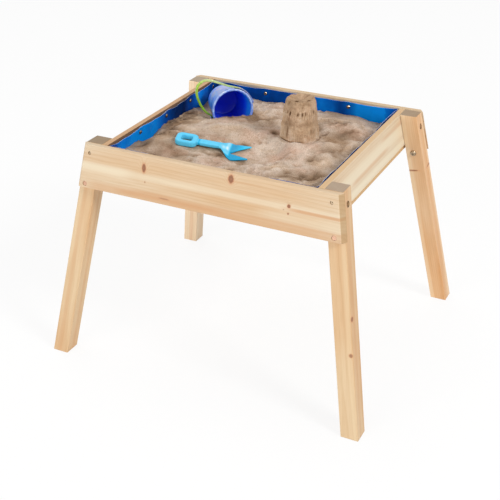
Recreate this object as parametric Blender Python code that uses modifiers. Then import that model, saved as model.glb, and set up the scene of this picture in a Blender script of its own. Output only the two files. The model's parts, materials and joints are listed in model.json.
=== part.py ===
# Sand and water table: a splayed pine frame that holds a blue liner full of sand, with a sandcastle,
# a bucket and a toy fork on it. Metres, +Z up, +X along the front plank to the right, front towards -Y.
# The origin is on the ground under the middle of the table.

from math import cos, exp, hypot, pi, radians, sin, tan

import bmesh
import bpy
from mathutils import Matrix, Vector

# Frame of the table
table_height = 0.470
top_width = 0.544          # between the outer faces of the legs at the top, along X
top_depth = 0.441          # the same along Y
splay_x_deg = 9.8          # how far the legs lean outwards, seen from the front
splay_y_deg = 9.7          # the same, seen from the side
leg_side = 0.036
plank_thickness = 0.012
plank_height = 0.088
plank_overhang = 0.003     # the planks end this far past the legs
plank_end_run = 0.008      # length of the sloping cut on a plank's end
side_board_height = 0.071
floor_thickness = 0.012
floor_setback = 0.003      # the floor stops short of the side boards' outer faces
arris = 0.0012             # rounding of the sawn edges
joint_gap = 0.0003         # clearance between pieces that touch
overrun = 0.002            # how far a cutter runs past a face
weld_distance = 0.00001    # points nearer than this are one point

# Screws that hold the planks to the legs
plank_screw_drop = 0.0165
plank_screw_head_radius = 0.0034
plank_screw_radius = 0.0018
plank_screw_sunk = 0.0022
plank_screw_length = 0.034
screw_head_depth = 0.0022
screw_point = 0.004

# Bolts that clamp the planks to the legs, with a dome head inside and a sleeve nut outside
leg_bolt_edge = 0.0087     # from the plank's lower edge to the bolt
leg_bolt_radius = 0.0029
leg_bolt_head_radius = 0.0065
leg_bolt_head_height = 0.0042
leg_bolt_flange = 0.0010
leg_bolt_socket_radius = 0.0019
leg_bolt_socket_depth = 0.0020
nut_radius = 0.0048
nut_wall = 0.0014
nut_length = 0.0075
nut_sunk = 0.0012
nut_seat_gap = 0.0004

# Bolts through the legs into the side boards
side_bolt_drop = 0.0275
side_bolt_bore_radius = 0.0065
side_bolt_bore_share = 0.39
side_bolt_head_radius = 0.0050
side_bolt_head_height = 0.0040
side_bolt_radius = 0.0025
side_bolt_bite_share = 0.75  # how much of the side board its thread takes

# Screws from below through the floor into the side boards
floor_screw_count = 3
floor_screw_pitch = 0.150
floor_screw_inset = 0.0075
floor_screw_head_radius = 0.0028
floor_screw_radius = 0.0014
floor_screw_sunk = 0.0005
floor_screw_length = 0.028

# Liner, and the dome screws that hold its rim
liner_thickness = 0.0008
liner_drop = 0.0040        # the liner's rim below the table's top
liner_screw_drop = 0.0165
liner_screw_count = 4
plank_side_pitch = 0.1005  # spacing of the screws along the planks
plank_side_start = 0.0310  # from the tray's left or right corner to the first one
board_side_pitch = 0.1040  # spacing along the side boards
board_side_start = 0.0100
liner_screw_head_radius = 0.0044
liner_screw_head_height = 0.0026
liner_screw_radius = 0.0014
liner_screw_bite_share = 0.78  # how much of the board behind it takes

# Sand
sand_depth = 0.038
sand_cells = 34
ripple_height = 0.0012
ripple_length = 0.062
moat_width = 0.014         # the hollow round the castle's foot
moat_depth = 0.006
castle_base_radius = 0.0415
castle_height = 0.0890
castle_sunk = 0.0090       # the castle's foot below the sand's level
castle_at_shares = (0.306, 0.195)

# Hollows and heaps of the sand: places in shares of its half width and half depth, the radius in shares
# of its half width, the height in shares of its depth
sand_lump_shares = [
    (-0.97, -0.26, 0.15, -0.42), (-0.98, 0.16, 0.22, -0.08), (-0.95, 0.74, 0.25, -0.52),
    (-0.45, 0.95, 0.26, -0.14), (0.17, 0.97, 0.24, -0.14), (0.84, 0.92, 0.22, -0.44),
    (-0.40, 0.09, 0.27, 0.18), (-0.13, 0.34, 0.17, -0.12), (-0.82, -0.10, 0.24, 0.12),
    (0.45, 0.60, 0.19, 0.16), (0.68, 0.58, 0.20, 0.20), (0.84, 0.30, 0.26, 0.20),
    (0.63, -0.04, 0.20, 0.18), (0.70, -0.53, 0.13, -0.16), (0.55, -0.72, 0.26, 0.22),
    (0.14, -0.62, 0.24, 0.12), (-0.29, -0.62, 0.18, 0.16), (-0.72, -0.72, 0.22, 0.08),
    (0.26, -0.22, 0.22, 0.10), (-0.93, -0.95, 0.16, -0.30), (0.93, -0.90, 0.16, -0.10)]

# Bucket, lying half sunk in the sand with its mouth to the front
bucket_mouth_radius = 0.0462
bucket_lip = 0.0022
bucket_lip_height = 0.0050
bucket_wall = 0.0018
bucket_base_radius = 0.0340
bucket_depth = 0.0860
bucket_bed = 0.0030        # sand under its lowest point
bucket_at_shares = (-0.515, 0.478)
bucket_heading_deg = 43.5
bucket_tilt_deg = 4.0
bucket_roll_deg = 16.0     # how far it is turned about its own axis
bucket_gap = 0.0004
mouth_room = 0.0042        # free space in front of the mouth, so that it lifts straight out

# Handle of the bucket, a soft strap that stands up behind the rim and bulges to the left
pivot_drop = 0.0100        # the pivots behind the rim
pivot_radius = 0.0022
pivot_head_radius = 0.0034
pivot_head_height = 0.0010
pivot_clearance = 0.0001
strap_thickness = 0.0026
strap_width = 0.0100
strap_eye_radius = 0.0060
handle_half_width = 0.0483
handle_height = 0.0830
handle_lean_deg = 6.0      # backwards, from the plane of the rim
handle_route_shares = [
    (-1.00, 0.00), (-1.00, 0.035), (-1.03, 0.07), (-1.16, 0.17), (-1.27, 0.34), (-1.31, 0.54), (-1.28, 0.73),
    (-1.13, 0.90), (-0.83, 0.97), (-0.52, 0.92), (-0.16, 0.77), (0.18, 0.61), (0.46, 0.53), (0.71, 0.44),
    (0.89, 0.30), (0.99, 0.14), (1.00, 0.04), (1.00, 0.00)]
handle_steps = 3
eye_hollow_radius = 0.020  # hollow in the sand where the lower end of the handle turns
eye_hollow_depth = 0.008
eye_slot_radius = 0.0150
eye_slot_outer = 0.0090
eye_slot_inner = 0.0065

# Toy fork: a loop grip, a shaft and a scooped head with two tines
fork_at_shares = (-0.5224, -0.4092)
fork_rise = 0.0089         # from the sand's level to the underside of the grip
fork_bed_gap = 0.0015
fork_bed_fade = 0.040      # over which the sand runs out from the bed pressed under the fork
fork_heading_deg = 17.6
fork_pitch_deg = -7.4
fork_roll_deg = 5.0        # its far side lies higher
grip_length = 0.0450
grip_width = 0.0390
grip_thickness = 0.0120
grip_side = 0.0090
grip_end = 0.0115
grip_corner = 0.0110
shaft_length = 0.0450
shaft_width = 0.0170
shaft_thickness = 0.0080
fork_edge = 0.0012
head_length = 0.0620
head_half_width = 0.0322
head_thickness = 0.0028
head_droop = 0.0020        # how far its sides lie below its middle line, less towards the tips
head_overlap = 0.0040      # how far the head reaches into the shaft
plate_drop_deg = 21.0
tine_drop_deg = 1.0
fold_share = 0.46          # where along the head the tines turn down
# Rows of the head: place along it, inner and outer edge of a tine in shares of the half width
head_row_shares = [
    (0.00, 0.00, 0.26), (0.10, 0.00, 0.40), (0.20, 0.00, 0.64), (0.30, 0.00, 0.88),
    (0.40, 0.00, 0.98), (0.49, 0.00, 1.00), (0.58, 0.19, 1.01), (0.70, 0.42, 1.02),
    (0.82, 0.64, 1.02), (0.92, 0.81, 1.01), (1.00, 0.92, 0.99)]
head_columns = 3

# Worked out from the sizes above
lean_x = tan(radians(splay_x_deg))
lean_y = tan(radians(splay_y_deg))
side_board_low = table_height - side_board_height
floor_top = side_board_low - joint_gap
floor_low = floor_top - floor_thickness
liner_low = floor_top + joint_gap
liner_top = table_height - liner_drop
sand_low = liner_low + liner_thickness + joint_gap
sand_level = sand_low + sand_depth
liner_wall_x = liner_thickness / cos(radians(splay_x_deg))
liner_wall_y = liner_thickness / cos(radians(splay_y_deg))
plank_grip = (plank_thickness + joint_gap + leg_side) * cos(radians(splay_y_deg))
leg_grip = leg_side * cos(radians(splay_x_deg))
side_board_normal_thickness = plank_thickness * cos(radians(splay_x_deg))
plank_low = table_height - plank_height


# Half widths of the table at a height, growing downwards with the splay of the legs

def outer_x(z):
    return top_width / 2 + lean_x * (table_height - z)


def outer_y(z):
    return top_depth / 2 + lean_y * (table_height - z)


def board_outer_x(z):
    return outer_x(z) - leg_side - joint_gap


def board_inner_x(z):
    return board_outer_x(z) - plank_thickness


def plank_inner_y(z):
    return outer_y(z) + joint_gap


def plank_outer_y(z):
    return plank_inner_y(z) + plank_thickness


def liner_x(z):
    return board_inner_x(z) - joint_gap


def liner_y(z):
    return plank_inner_y(z) - joint_gap


def sand_x(z):
    return liner_x(z) - liner_wall_x - joint_gap


def sand_y(z):
    return liner_y(z) - liner_wall_y - joint_gap


# Scene and materials

for old in list(bpy.data.objects):
    bpy.data.objects.remove(old, do_unlink=True)

parts = bpy.data.collections.new("sand_and_water_table")
cutters = bpy.data.collections.new("cutters")
bpy.context.scene.collection.children.link(parts)
bpy.context.scene.collection.children.link(cutters)


def finish(name, colour, roughness, metallic=0.0):
    material = bpy.data.materials.new(name)
    material.use_nodes = True
    shader = material.node_tree.nodes["Principled BSDF"]
    shader.inputs["Base Color"].default_value = (*colour, 1.0)
    shader.inputs["Roughness"].default_value = roughness
    shader.inputs["Metallic"].default_value = metallic
    material.diffuse_color = (*colour, 1.0)
    return material


def own_material(name, base):
    colour, roughness, metallic = base
    return finish(name + "_finish", colour, roughness, metallic)


pine = ((0.74, 0.52, 0.31), 0.62, 0.0)
pine_leg = ((0.70, 0.47, 0.26), 0.62, 0.0)
plywood = ((0.58, 0.33, 0.15), 0.70, 0.0)
zinc = ((0.60, 0.55, 0.46), 0.35, 1.0)
brass = ((0.62, 0.44, 0.20), 0.30, 1.0)
blue_vinyl = ((0.0, 0.08, 0.42), 0.40, 0.0)
wet_sand = ((0.45, 0.33, 0.22), 0.95, 0.0)
blue_plastic = ((0.02, 0.08, 0.45), 0.30, 0.0)
lime_plastic = ((0.28, 0.46, 0.04), 0.38, 0.0)
cyan_plastic = ((0.03, 0.50, 0.78), 0.35, 0.0)


# Building blocks

def add(name, mesh, base, location=(0, 0, 0), turn=None):
    piece = bpy.data.objects.new(name, mesh)
    parts.objects.link(piece)
    mesh.materials.append(own_material(name, base))
    piece.matrix_world = Matrix.Translation(Vector(location)) @ (turn or Matrix.Identity(4))
    return piece


def mesh_from(bm, name):
    mesh = bpy.data.meshes.new(name)
    bm.to_mesh(mesh)
    bm.free()
    return mesh


def block_mesh(name, low, high, west, east, south, north, narrow=None):
    # A cube whose sides are set from the half widths at its top and bottom. narrow(y) draws the ends in.
    bm = bmesh.new()
    bmesh.ops.create_cube(bm, size=1)
    for vert in bm.verts:
        z = high if vert.co.z > 0 else low
        side = 1 if vert.co.x > 0 else -1
        x = east(z) if side > 0 else west(z)
        front = vert.co.y < 0
        y = south(z) if front else north(z)
        if narrow:
            x -= side * narrow(front)
        vert.co = Vector((x, y, z))
    return mesh_from(bm, name)


def recentre(mesh, origin):
    mesh.transform(Matrix.Translation(-Vector(origin)))
    return mesh


def round_edges(piece, width=arris, segments=2):
    bevel = piece.modifiers.new("edges", "BEVEL")
    bevel.width = width
    bevel.segments = segments
    bevel.limit_method = "ANGLE"
    bevel.angle_limit = radians(40)
    return bevel


def block(name, base, low, high, west, east, south, north, narrow=None):
    mesh = block_mesh(name, low, high, west, east, south, north, narrow)
    origin = ((west(high) + east(high)) / 2, (south(high) + north(high)) / 2, high)
    piece = add(name, recentre(mesh, origin), base, origin)
    round_edges(piece)
    return piece


def turned(name, profile, steps=16):
    # A profile of (radius, height) points, spun about Z. It runs down its outer side.
    mesh = bpy.data.meshes.new(name)
    edges = [(i, i + 1) for i in range(len(profile) - 1)]
    mesh.from_pydata([(r, 0, z) for r, z in profile], edges, [])
    piece = bpy.data.objects.new(name, mesh)
    screw = piece.modifiers.new("turn", "SCREW")
    screw.axis = "Z"
    screw.angle = 2 * pi
    screw.steps = steps
    screw.render_steps = steps
    screw.use_merge_vertices = True
    screw.merge_threshold = weld_distance
    screw.use_smooth_shade = True
    return piece


def aim(point, normal):
    # A frame at a point whose +Z is the normal
    turn = Vector(normal).normalized().to_track_quat("Z", "Y").to_matrix().to_4x4()
    return Matrix.Translation(Vector(point)) @ turn


def as_cutter(piece, matrix):
    cutters.objects.link(piece)
    piece.matrix_world = matrix
    piece.hide_render = True
    piece.display_type = "WIRE"
    return piece


def as_part(piece, matrix, base):
    parts.objects.link(piece)
    piece.data.materials.append(own_material(piece.name, base))
    piece.matrix_world = matrix
    return piece


def combine(piece, other, operation="DIFFERENCE"):
    change = piece.modifiers.new(operation.lower(), "BOOLEAN")
    change.operation = operation
    change.object = other
    change.solver = "EXACT"
    return change


# Frame: planks, side boards, legs and floor

def plank_narrow(front_side):
    def narrow(front):
        return plank_end_run if front == front_side else 0
    return narrow


def plank_end(z):
    return outer_x(z) + plank_overhang


front_plank = block(
    "front_plank", pine, plank_low, table_height, lambda z: -plank_end(z), plank_end,
    lambda z: -plank_outer_y(z), lambda z: -plank_inner_y(z), plank_narrow(True))
back_plank = block(
    "back_plank", pine, plank_low, table_height, lambda z: -plank_end(z), plank_end,
    plank_inner_y, plank_outer_y, plank_narrow(False))
planks = {-1: front_plank, 1: back_plank}

boards = {}
for side, label in ((-1, "left"), (1, "right")):
    inner = (lambda z, s=side: s * board_inner_x(z))
    outer = (lambda z, s=side: s * board_outer_x(z))
    west, east = (outer, inner) if side < 0 else (inner, outer)
    boards[side] = block(
        f"{label}_side_board", pine, side_board_low, table_height, west, east,
        lambda z: -outer_y(z), outer_y)

legs = {}
for end, end_label in ((-1, "front"), (1, "back")):
    for side, side_label in ((-1, "left"), (1, "right")):
        near_x = (lambda z, s=side: s * (outer_x(z) - leg_side))
        far_x = (lambda z, s=side: s * outer_x(z))
        near_y = (lambda z, e=end: e * (outer_y(z) - leg_side))
        far_y = (lambda z, e=end: e * outer_y(z))
        west, east = (far_x, near_x) if side < 0 else (near_x, far_x)
        south, north = (far_y, near_y) if end < 0 else (near_y, far_y)
        legs[end, side] = block(
            f"{end_label}_{side_label}_leg", pine_leg, 0, table_height, west, east, south, north)

floor_half_x = board_outer_x(floor_top) - floor_setback
floor_half_y = outer_y(floor_top)
floor_panel = block(
    "floor_panel", plywood, floor_low, floor_top, lambda z: -floor_half_x, lambda z: floor_half_x,
    lambda z: -floor_half_y, lambda z: floor_half_y)


# Fasteners of the frame

def sunk_screw(name, head_radius, radius, sunk, length, matrix, pieces, base=zinc):
    # A countersunk wood screw below the face at the frame's origin, and its hole in each piece
    shoulder = -sunk - screw_head_depth
    dimple = head_radius / 3
    profile = [
        (0, -sunk - dimple), (dimple, -sunk), (head_radius, -sunk), (radius, shoulder),
        (radius, screw_point - length), (0, -length)]
    hole = [
        (0, overrun), (head_radius + joint_gap, overrun), (head_radius + joint_gap, -sunk - joint_gap),
        (radius + joint_gap, shoulder - joint_gap), (radius + joint_gap, -length - joint_gap),
        (0, -length - joint_gap)]
    cutter = as_cutter(turned(f"{name}_hole", hole, steps=12), matrix)
    for piece in pieces:
        combine(piece, cutter)
    return as_part(turned(name, profile, steps=12), matrix, base)


def plank_normal(end):
    return Vector((0, end, lean_y))


def board_normal(side):
    return Vector((side, 0, lean_x))


for end, end_label in ((-1, "front"), (1, "back")):
    for side, side_label in ((-1, "left"), (1, "right")):
        where = f"{end_label}_{side_label}"
        leg = legs[end, side]

        z = table_height - plank_screw_drop
        spot = (side * (outer_x(z) - leg_side / 2), end * plank_outer_y(z), z)
        sunk_screw(
            f"{where}_plank_screw", plank_screw_head_radius, plank_screw_radius, plank_screw_sunk,
            plank_screw_length, aim(spot, plank_normal(end)), (planks[end], leg))

        z = plank_low + leg_bolt_edge
        spot = (side * (outer_x(z) - leg_side / 2), end * plank_outer_y(z), z)
        frame = aim(spot, plank_normal(end))
        seat = -plank_grip - joint_gap
        flange = seat - leg_bolt_flange
        dome = seat - leg_bolt_head_height
        thread_top = -nut_sunk - nut_wall - nut_seat_gap
        bolt_profile = [
            (0, thread_top), (leg_bolt_radius, thread_top), (leg_bolt_radius, seat),
            (leg_bolt_head_radius, seat), (leg_bolt_head_radius, flange),
            (leg_bolt_head_radius * 0.85, flange - (flange - dome) * 0.55),
            (leg_bolt_head_radius * 0.55, dome + (flange - dome) * 0.1),
            (leg_bolt_socket_radius, dome), (leg_bolt_socket_radius, dome + leg_bolt_socket_depth),
            (0, dome + leg_bolt_socket_depth)]
        nut_low = -nut_sunk - nut_length
        bore = leg_bolt_radius + joint_gap
        nut_profile = [
            (0, -nut_sunk), (nut_radius, -nut_sunk), (nut_radius, nut_low), (bore, nut_low),
            (bore, -nut_sunk - nut_wall), (0, -nut_sunk - nut_wall)]
        hole = [
            (0, overrun), (nut_radius + joint_gap, overrun), (nut_radius + joint_gap, nut_low - joint_gap),
            (bore, nut_low - joint_gap), (bore, seat - overrun), (0, seat - overrun)]
        cutter = as_cutter(turned(f"{where}_bolt_hole", hole), frame)
        combine(planks[end], cutter)
        combine(leg, cutter)
        as_part(turned(f"{where}_leg_bolt", bolt_profile), frame, zinc)
        as_part(turned(f"{where}_bolt_nut", nut_profile), frame, zinc)

        z = table_height - side_bolt_drop
        spot = (side * outer_x(z), end * (outer_y(z) - leg_side / 2), z)
        frame = aim(spot, board_normal(side))
        bore_depth = leg_side * side_bolt_bore_share
        head_top = joint_gap + side_bolt_head_height - bore_depth
        under_head = joint_gap - bore_depth
        tip = -(leg_grip + joint_gap + side_board_normal_thickness * side_bolt_bite_share)
        socket = side_bolt_head_radius / 2
        bolt_profile = [
            (0, head_top - socket), (socket, head_top - socket), (socket, head_top),
            (side_bolt_head_radius, head_top), (side_bolt_head_radius, under_head),
            (side_bolt_radius, under_head), (side_bolt_radius, tip), (0, tip)]
        hole = [
            (0, overrun), (side_bolt_bore_radius, overrun), (side_bolt_bore_radius, -bore_depth),
            (side_bolt_radius + joint_gap, -bore_depth),
            (side_bolt_radius + joint_gap, tip - joint_gap), (0, tip - joint_gap)]
        cutter = as_cutter(turned(f"{where}_side_bolt_hole", hole), frame)
        combine(leg, cutter)
        combine(boards[side], cutter)
        as_part(turned(f"{where}_side_bolt", bolt_profile), frame, zinc)

for side, label in ((-1, "left"), (1, "right")):
    x = side * (board_outer_x(floor_top) - floor_screw_inset)
    axis = Vector((side * lean_x, 0, -1))
    for i in range(floor_screw_count):
        y = (i - (floor_screw_count - 1) / 2) * floor_screw_pitch
        spot = (x + side * lean_x * floor_thickness, y, floor_low)
        sunk_screw(
            f"{label}_floor_screw_{i + 1}", floor_screw_head_radius, floor_screw_radius,
            floor_screw_sunk, floor_screw_length, aim(spot, axis), (floor_panel, boards[side]))


# Liner, an open tray of thin sheet, and the dome screws through its rim

def tray_surface(name):
    bm = bmesh.new()
    bmesh.ops.create_cube(bm, size=1)
    top = max(bm.faces, key=lambda face: face.calc_center_median().z)
    bmesh.ops.delete(bm, geom=[top], context="FACES_ONLY")
    for vert in bm.verts:
        z = liner_top if vert.co.z > 0 else liner_low
        x = liner_x(z) if vert.co.x > 0 else -liner_x(z)
        y = liner_y(z) if vert.co.y > 0 else -liner_y(z)
        vert.co = Vector((x, y, z))
    return mesh_from(bm, name)


liner_origin = (0, 0, liner_low)
liner = add("liner", recentre(tray_surface("liner"), liner_origin), blue_vinyl, liner_origin)
shell = liner.modifiers.new("sheet", "SOLIDIFY")
shell.thickness = liner_thickness
shell.offset = -1
shell.use_even_offset = True
shell.use_rim = True


def liner_screw(name, spot, normal, board):
    # A dome head on the sheet, with its shank through the sheet into the board behind
    seat = joint_gap / 2
    top = seat + liner_screw_head_height
    tip = -(liner_thickness + joint_gap + side_board_normal_thickness * liner_screw_bite_share)
    profile = [
        (0, top), (liner_screw_head_radius * 0.45, top - liner_screw_head_height * 0.12),
        (liner_screw_head_radius * 0.82, top - liner_screw_head_height * 0.45),
        (liner_screw_head_radius, seat), (liner_screw_radius, seat), (liner_screw_radius, tip / 2),
        (0, tip)]
    bore = liner_screw_radius + joint_gap
    hole = [(0, overrun), (bore, overrun), (bore, tip - joint_gap), (0, tip - joint_gap)]
    frame = aim(spot, normal)
    cutter = as_cutter(turned(f"{name}_hole", hole, steps=10), frame)
    combine(liner, cutter)
    combine(board, cutter)
    return as_part(turned(name, profile, steps=12), frame, brass)


z = table_height - liner_screw_drop
for i in range(liner_screw_count):
    x = -liner_x(z) + plank_side_start + i * plank_side_pitch
    y = liner_y(z) - liner_wall_y
    liner_screw(f"back_liner_screw_{i + 1}", (x, y, z), (0, -1, -lean_y), back_plank)
    liner_screw(f"front_liner_screw_{i + 1}", (-x, -y, z), (0, 1, -lean_y), front_plank)
for i in range(liner_screw_count):
    x = liner_x(z) - liner_wall_x
    y = liner_y(z) - board_side_start - i * board_side_pitch
    liner_screw(f"left_liner_screw_{i + 1}", (-x, y, z), (1, 0, -lean_x), boards[-1])
    liner_screw(f"right_liner_screw_{i + 1}", (x, -y, z), (-1, 0, -lean_x), boards[1])


# Where the toys and the castle are, in shares of the sand's half width and half depth

def on_sand(shares, z):
    return Vector((shares[0] * sand_x(sand_level), shares[1] * sand_y(sand_level), z))


castle_foot = on_sand(castle_at_shares, sand_level - castle_sunk)

# Frame of the bucket: +Z out of its mouth, +X along the pivots of its handle
heading = radians(bucket_heading_deg)
tilt = radians(bucket_tilt_deg)
roll = radians(bucket_roll_deg)
out = Vector((sin(heading) * cos(tilt), -cos(heading) * cos(tilt), sin(tilt)))
level = Vector((cos(heading), sin(heading), 0))
across = level * cos(roll) + out.cross(level) * sin(roll)
rise_axis = out.cross(across)
lowest = max(bucket_mouth_radius * cos(tilt), bucket_depth * sin(tilt) + bucket_base_radius * cos(tilt))
mouth = on_sand(bucket_at_shares, sand_low + bucket_bed + lowest)
pivot = mouth - out * pivot_drop
left_eye = pivot - across * handle_half_width

# Frame of the fork: +X from the middle of the grip to the tines
grip_middle = on_sand(fork_at_shares, sand_level + fork_rise + grip_thickness / 2)
fork_heading = radians(fork_heading_deg)
fork_slope = tan(radians(fork_pitch_deg))
fork_lean = tan(radians(fork_roll_deg))
fork_frame = (
    Matrix.Translation(grip_middle) @ Matrix.Rotation(fork_heading, 4, "Z")
    @ Matrix.Rotation(-radians(fork_pitch_deg), 4, "Y") @ Matrix.Rotation(radians(fork_roll_deg), 4, "X"))
head_start = grip_length / 2 + shaft_length
fork_end = head_start + head_length
head_slant = 1 / cos(radians(plate_drop_deg))


def frame_of(x_axis, y_axis, z_axis, at):
    turn = Matrix((x_axis, y_axis, z_axis)).transposed().to_4x4()
    return Matrix.Translation(at) @ turn


bucket_frame = frame_of(across, rise_axis, out, mouth)


# Sand: a rippled surface over the liner's floor

def head_height(along):
    # Middle line of the head's upper face, at a distance from the head's start
    fold = head_length * fold_share
    plate = min(along, fold) * tan(radians(plate_drop_deg))
    tine = max(along - fold, 0) * tan(radians(tine_drop_deg))
    return shaft_thickness / 2 - plate - tine


def fork_bed(x, y):
    # Height of the bed under the fork, and how far the point is outside the fork's edge
    forward = Vector((cos(fork_heading), sin(fork_heading)))
    offset = Vector((x - grip_middle.x, y - grip_middle.y))
    along = offset.dot(forward)
    sideways = min(max(forward.cross(offset), -head_half_width), head_half_width)
    run = min(max(along, -grip_length / 2), fork_end)
    half = head_half_width if run > head_start else grip_width / 2
    away = (offset - forward * run).length - half
    reach = min(along, fork_end + head_half_width / 2)
    under_head = head_height(max(reach - head_start, 0)) - head_thickness * head_slant - head_droop
    under = min(-grip_thickness / 2, under_head) + reach * fork_slope + sideways * fork_lean
    return grip_middle.z + under - fork_bed_gap, away


def sand_height(x, y):
    half_x, half_y = sand_x(sand_level), sand_y(sand_level)
    height = sand_level
    height += ripple_height * sin(2 * pi * (x + y / 3) / ripple_length)
    height += ripple_height * sin(2 * pi * (y - x / 2) / ripple_length + 1)
    for share_x, share_y, radius_share, rise_share in sand_lump_shares:
        away = hypot(x - share_x * half_x, y - share_y * half_y) / (radius_share * half_x)
        height += rise_share * sand_depth * exp(-(away ** 2))
    ring = hypot(x - castle_foot.x, y - castle_foot.y) - castle_base_radius
    height -= moat_depth * exp(-((ring / moat_width) ** 2))
    away = hypot(x - left_eye.x, y - left_eye.y)
    height -= eye_hollow_depth * exp(-((away / eye_hollow_radius) ** 2))
    bed, away = fork_bed(x, y)
    cell = hypot(half_x, half_y) * 2 / sand_cells
    fade = min(max((away - cell) / fork_bed_fade, 0), 1)
    fade = fade * fade * (3 - 2 * fade)
    return bed * (1 - fade) + height * fade


def sand_mesh(name):
    bm = bmesh.new()
    bmesh.ops.create_grid(bm, x_segments=sand_cells, y_segments=sand_cells, size=1)
    rim = [edge for edge in bm.edges if edge.is_boundary]
    skirt = bmesh.ops.extrude_edge_only(bm, edges=rim)["geom"]
    low_verts = {item for item in skirt if isinstance(item, bmesh.types.BMVert)}
    for vert in bm.verts:
        u, v = vert.co.x, vert.co.y
        if vert in low_verts:
            vert.co = Vector((u * sand_x(sand_low), v * sand_y(sand_low), sand_low))
        else:
            z = sand_height(u * sand_x(sand_level), v * sand_y(sand_level))
            vert.co = Vector((u * sand_x(z), v * sand_y(z), z))
    low_edges = [edge for edge in bm.edges if edge.is_boundary]
    bmesh.ops.contextual_create(bm, geom=low_edges)
    bmesh.ops.recalc_face_normals(bm, faces=bm.faces)
    return mesh_from(bm, name)


sand_origin = (0, 0, sand_low)
sand_fill = add("sand_fill", recentre(sand_mesh("sand_fill"), sand_origin), wet_sand, sand_origin)

# Sandcastle, turned out of a mould
castle_profile_shares = [
    # radius in shares of the foot, height in shares of the whole
    (0.00, 0.965), (0.42, 0.965), (0.50, 0.985), (0.60, 1.000), (0.68, 0.985), (0.735, 0.930),
    (0.785, 0.840), (0.81, 0.760), (0.835, 0.680), (0.91, 0.430), (0.965, 0.170), (1.00, 0.000),
    (0.00, 0.000)]
castle_whole = castle_height + castle_sunk
castle_profile = [(r * castle_base_radius, h * castle_whole) for r, h in castle_profile_shares]
as_part(turned("sand_castle", castle_profile, steps=36), Matrix.Translation(castle_foot), wet_sand)
castle_socket = [
    (0, castle_whole), (castle_base_radius + joint_gap, castle_whole),
    (castle_base_radius + joint_gap, -joint_gap), (0, -joint_gap)]
combine(sand_fill, as_cutter(
    turned("castle_socket", castle_socket, steps=36), Matrix.Translation(castle_foot)))


# Bucket

def bucket_radius(depth):
    share = depth / bucket_depth
    body = bucket_mouth_radius - bucket_lip
    return body + (bucket_base_radius - body) * share


inner_base = bucket_base_radius - bucket_wall
bucket_profile = [
    (0, bucket_wall - bucket_depth), (inner_base, bucket_wall - bucket_depth),
    (bucket_radius(0) - bucket_wall, 0), (bucket_mouth_radius, 0),
    (bucket_mouth_radius, -bucket_lip_height), (bucket_radius(bucket_lip_height), -bucket_lip_height),
    (bucket_base_radius, -bucket_depth), (0, -bucket_depth)]
bucket = as_part(turned("bucket", bucket_profile, steps=40), bucket_frame, blue_plastic)
envelope = [
    (0, mouth_room), (bucket_mouth_radius + bucket_gap, mouth_room),
    (bucket_mouth_radius + bucket_gap, -bucket_lip_height - bucket_gap),
    (bucket_radius(bucket_lip_height) + bucket_gap, -bucket_lip_height - bucket_gap),
    (bucket_base_radius + bucket_gap, -bucket_depth - bucket_gap), (0, -bucket_depth - bucket_gap)]
combine(sand_fill, as_cutter(turned("bucket_envelope", envelope, steps=40), bucket_frame))

# Its pivots are headed pins on the wall
eye_near = handle_half_width - strap_thickness / 2
eye_far = handle_half_width + strap_thickness / 2
for side, label in ((-1, "left"), (1, "right")):
    root = bucket_radius(pivot_drop) - bucket_wall / 2
    neck = eye_far + joint_gap
    tip = neck + pivot_head_height
    pin = [
        (0, tip), (pivot_head_radius, tip), (pivot_head_radius, neck), (pivot_radius, neck),
        (pivot_radius, root), (0, root)]
    combine(bucket, as_cutter(
        turned(f"{label}_pivot_pin", pin, steps=12), aim(pivot, across * side)), "UNION")


# Handle of the bucket: a strap along a smooth route in one plane, which passes through the pivots

def smooth_route(points, steps):
    # A curve through the points, whose slope at each comes from the points on both sides
    route = []
    last = len(points) - 1
    for i in range(last):
        before = points[max(i - 1, 0)]
        start = points[i]
        end = points[i + 1]
        after = points[min(i + 2, last)]
        for step in range(steps):
            t = step / steps
            bend = before * 2 - start * 5 + end * 4 - after
            twist = start * 3 - before - end * 3 + after
            route.append((start * 2 + (end - before) * t + bend * t ** 2 + twist * t ** 3) / 2)
    route.append(points[last])
    return route


def strap_outline(route, thickness):
    near, far = [], []
    last = len(route) - 1
    for i, point in enumerate(route):
        along = (route[min(i + 1, last)] - route[max(i - 1, 0)]).normalized()
        side = Vector((-along.y, along.x)) * (thickness / 2)
        near.append(point + side)
        far.append(point - side)
    return near + far[::-1]


def flat_mesh(name, outlines, thickness, edge=0.0):
    # Closed outlines in the XY plane as a plate: the first is its rim, the others its holes
    curve = bpy.data.curves.new(name, "CURVE")
    curve.dimensions = "2D"
    curve.fill_mode = "BOTH"
    curve.extrude = thickness / 2 - edge
    curve.bevel_depth = edge
    curve.bevel_resolution = 1
    curve.offset = -edge
    for outline in outlines:
        spline = curve.splines.new("POLY")
        spline.points.add(len(outline) - 1)
        for point, place in zip(spline.points, outline):
            point.co = (place[0], place[1], 0, 1)
        spline.use_cyclic_u = True
    holder = bpy.data.objects.new(name, curve)
    bpy.context.scene.collection.objects.link(holder)
    bpy.context.view_layer.update()
    evaluated = holder.evaluated_get(bpy.context.evaluated_depsgraph_get())
    mesh = bpy.data.meshes.new_from_object(evaluated)
    mesh.name = name
    bpy.data.objects.remove(holder, do_unlink=True)
    bm = bmesh.new()
    bm.from_mesh(mesh)
    bmesh.ops.remove_doubles(bm, verts=bm.verts, dist=weld_distance)
    bmesh.ops.recalc_face_normals(bm, faces=bm.faces)
    bm.to_mesh(mesh)
    bm.free()
    return mesh


route_points = [Vector((x * handle_half_width, y * handle_height)) for x, y in handle_route_shares]
outline = strap_outline(smooth_route(route_points, handle_steps), strap_thickness)

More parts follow.
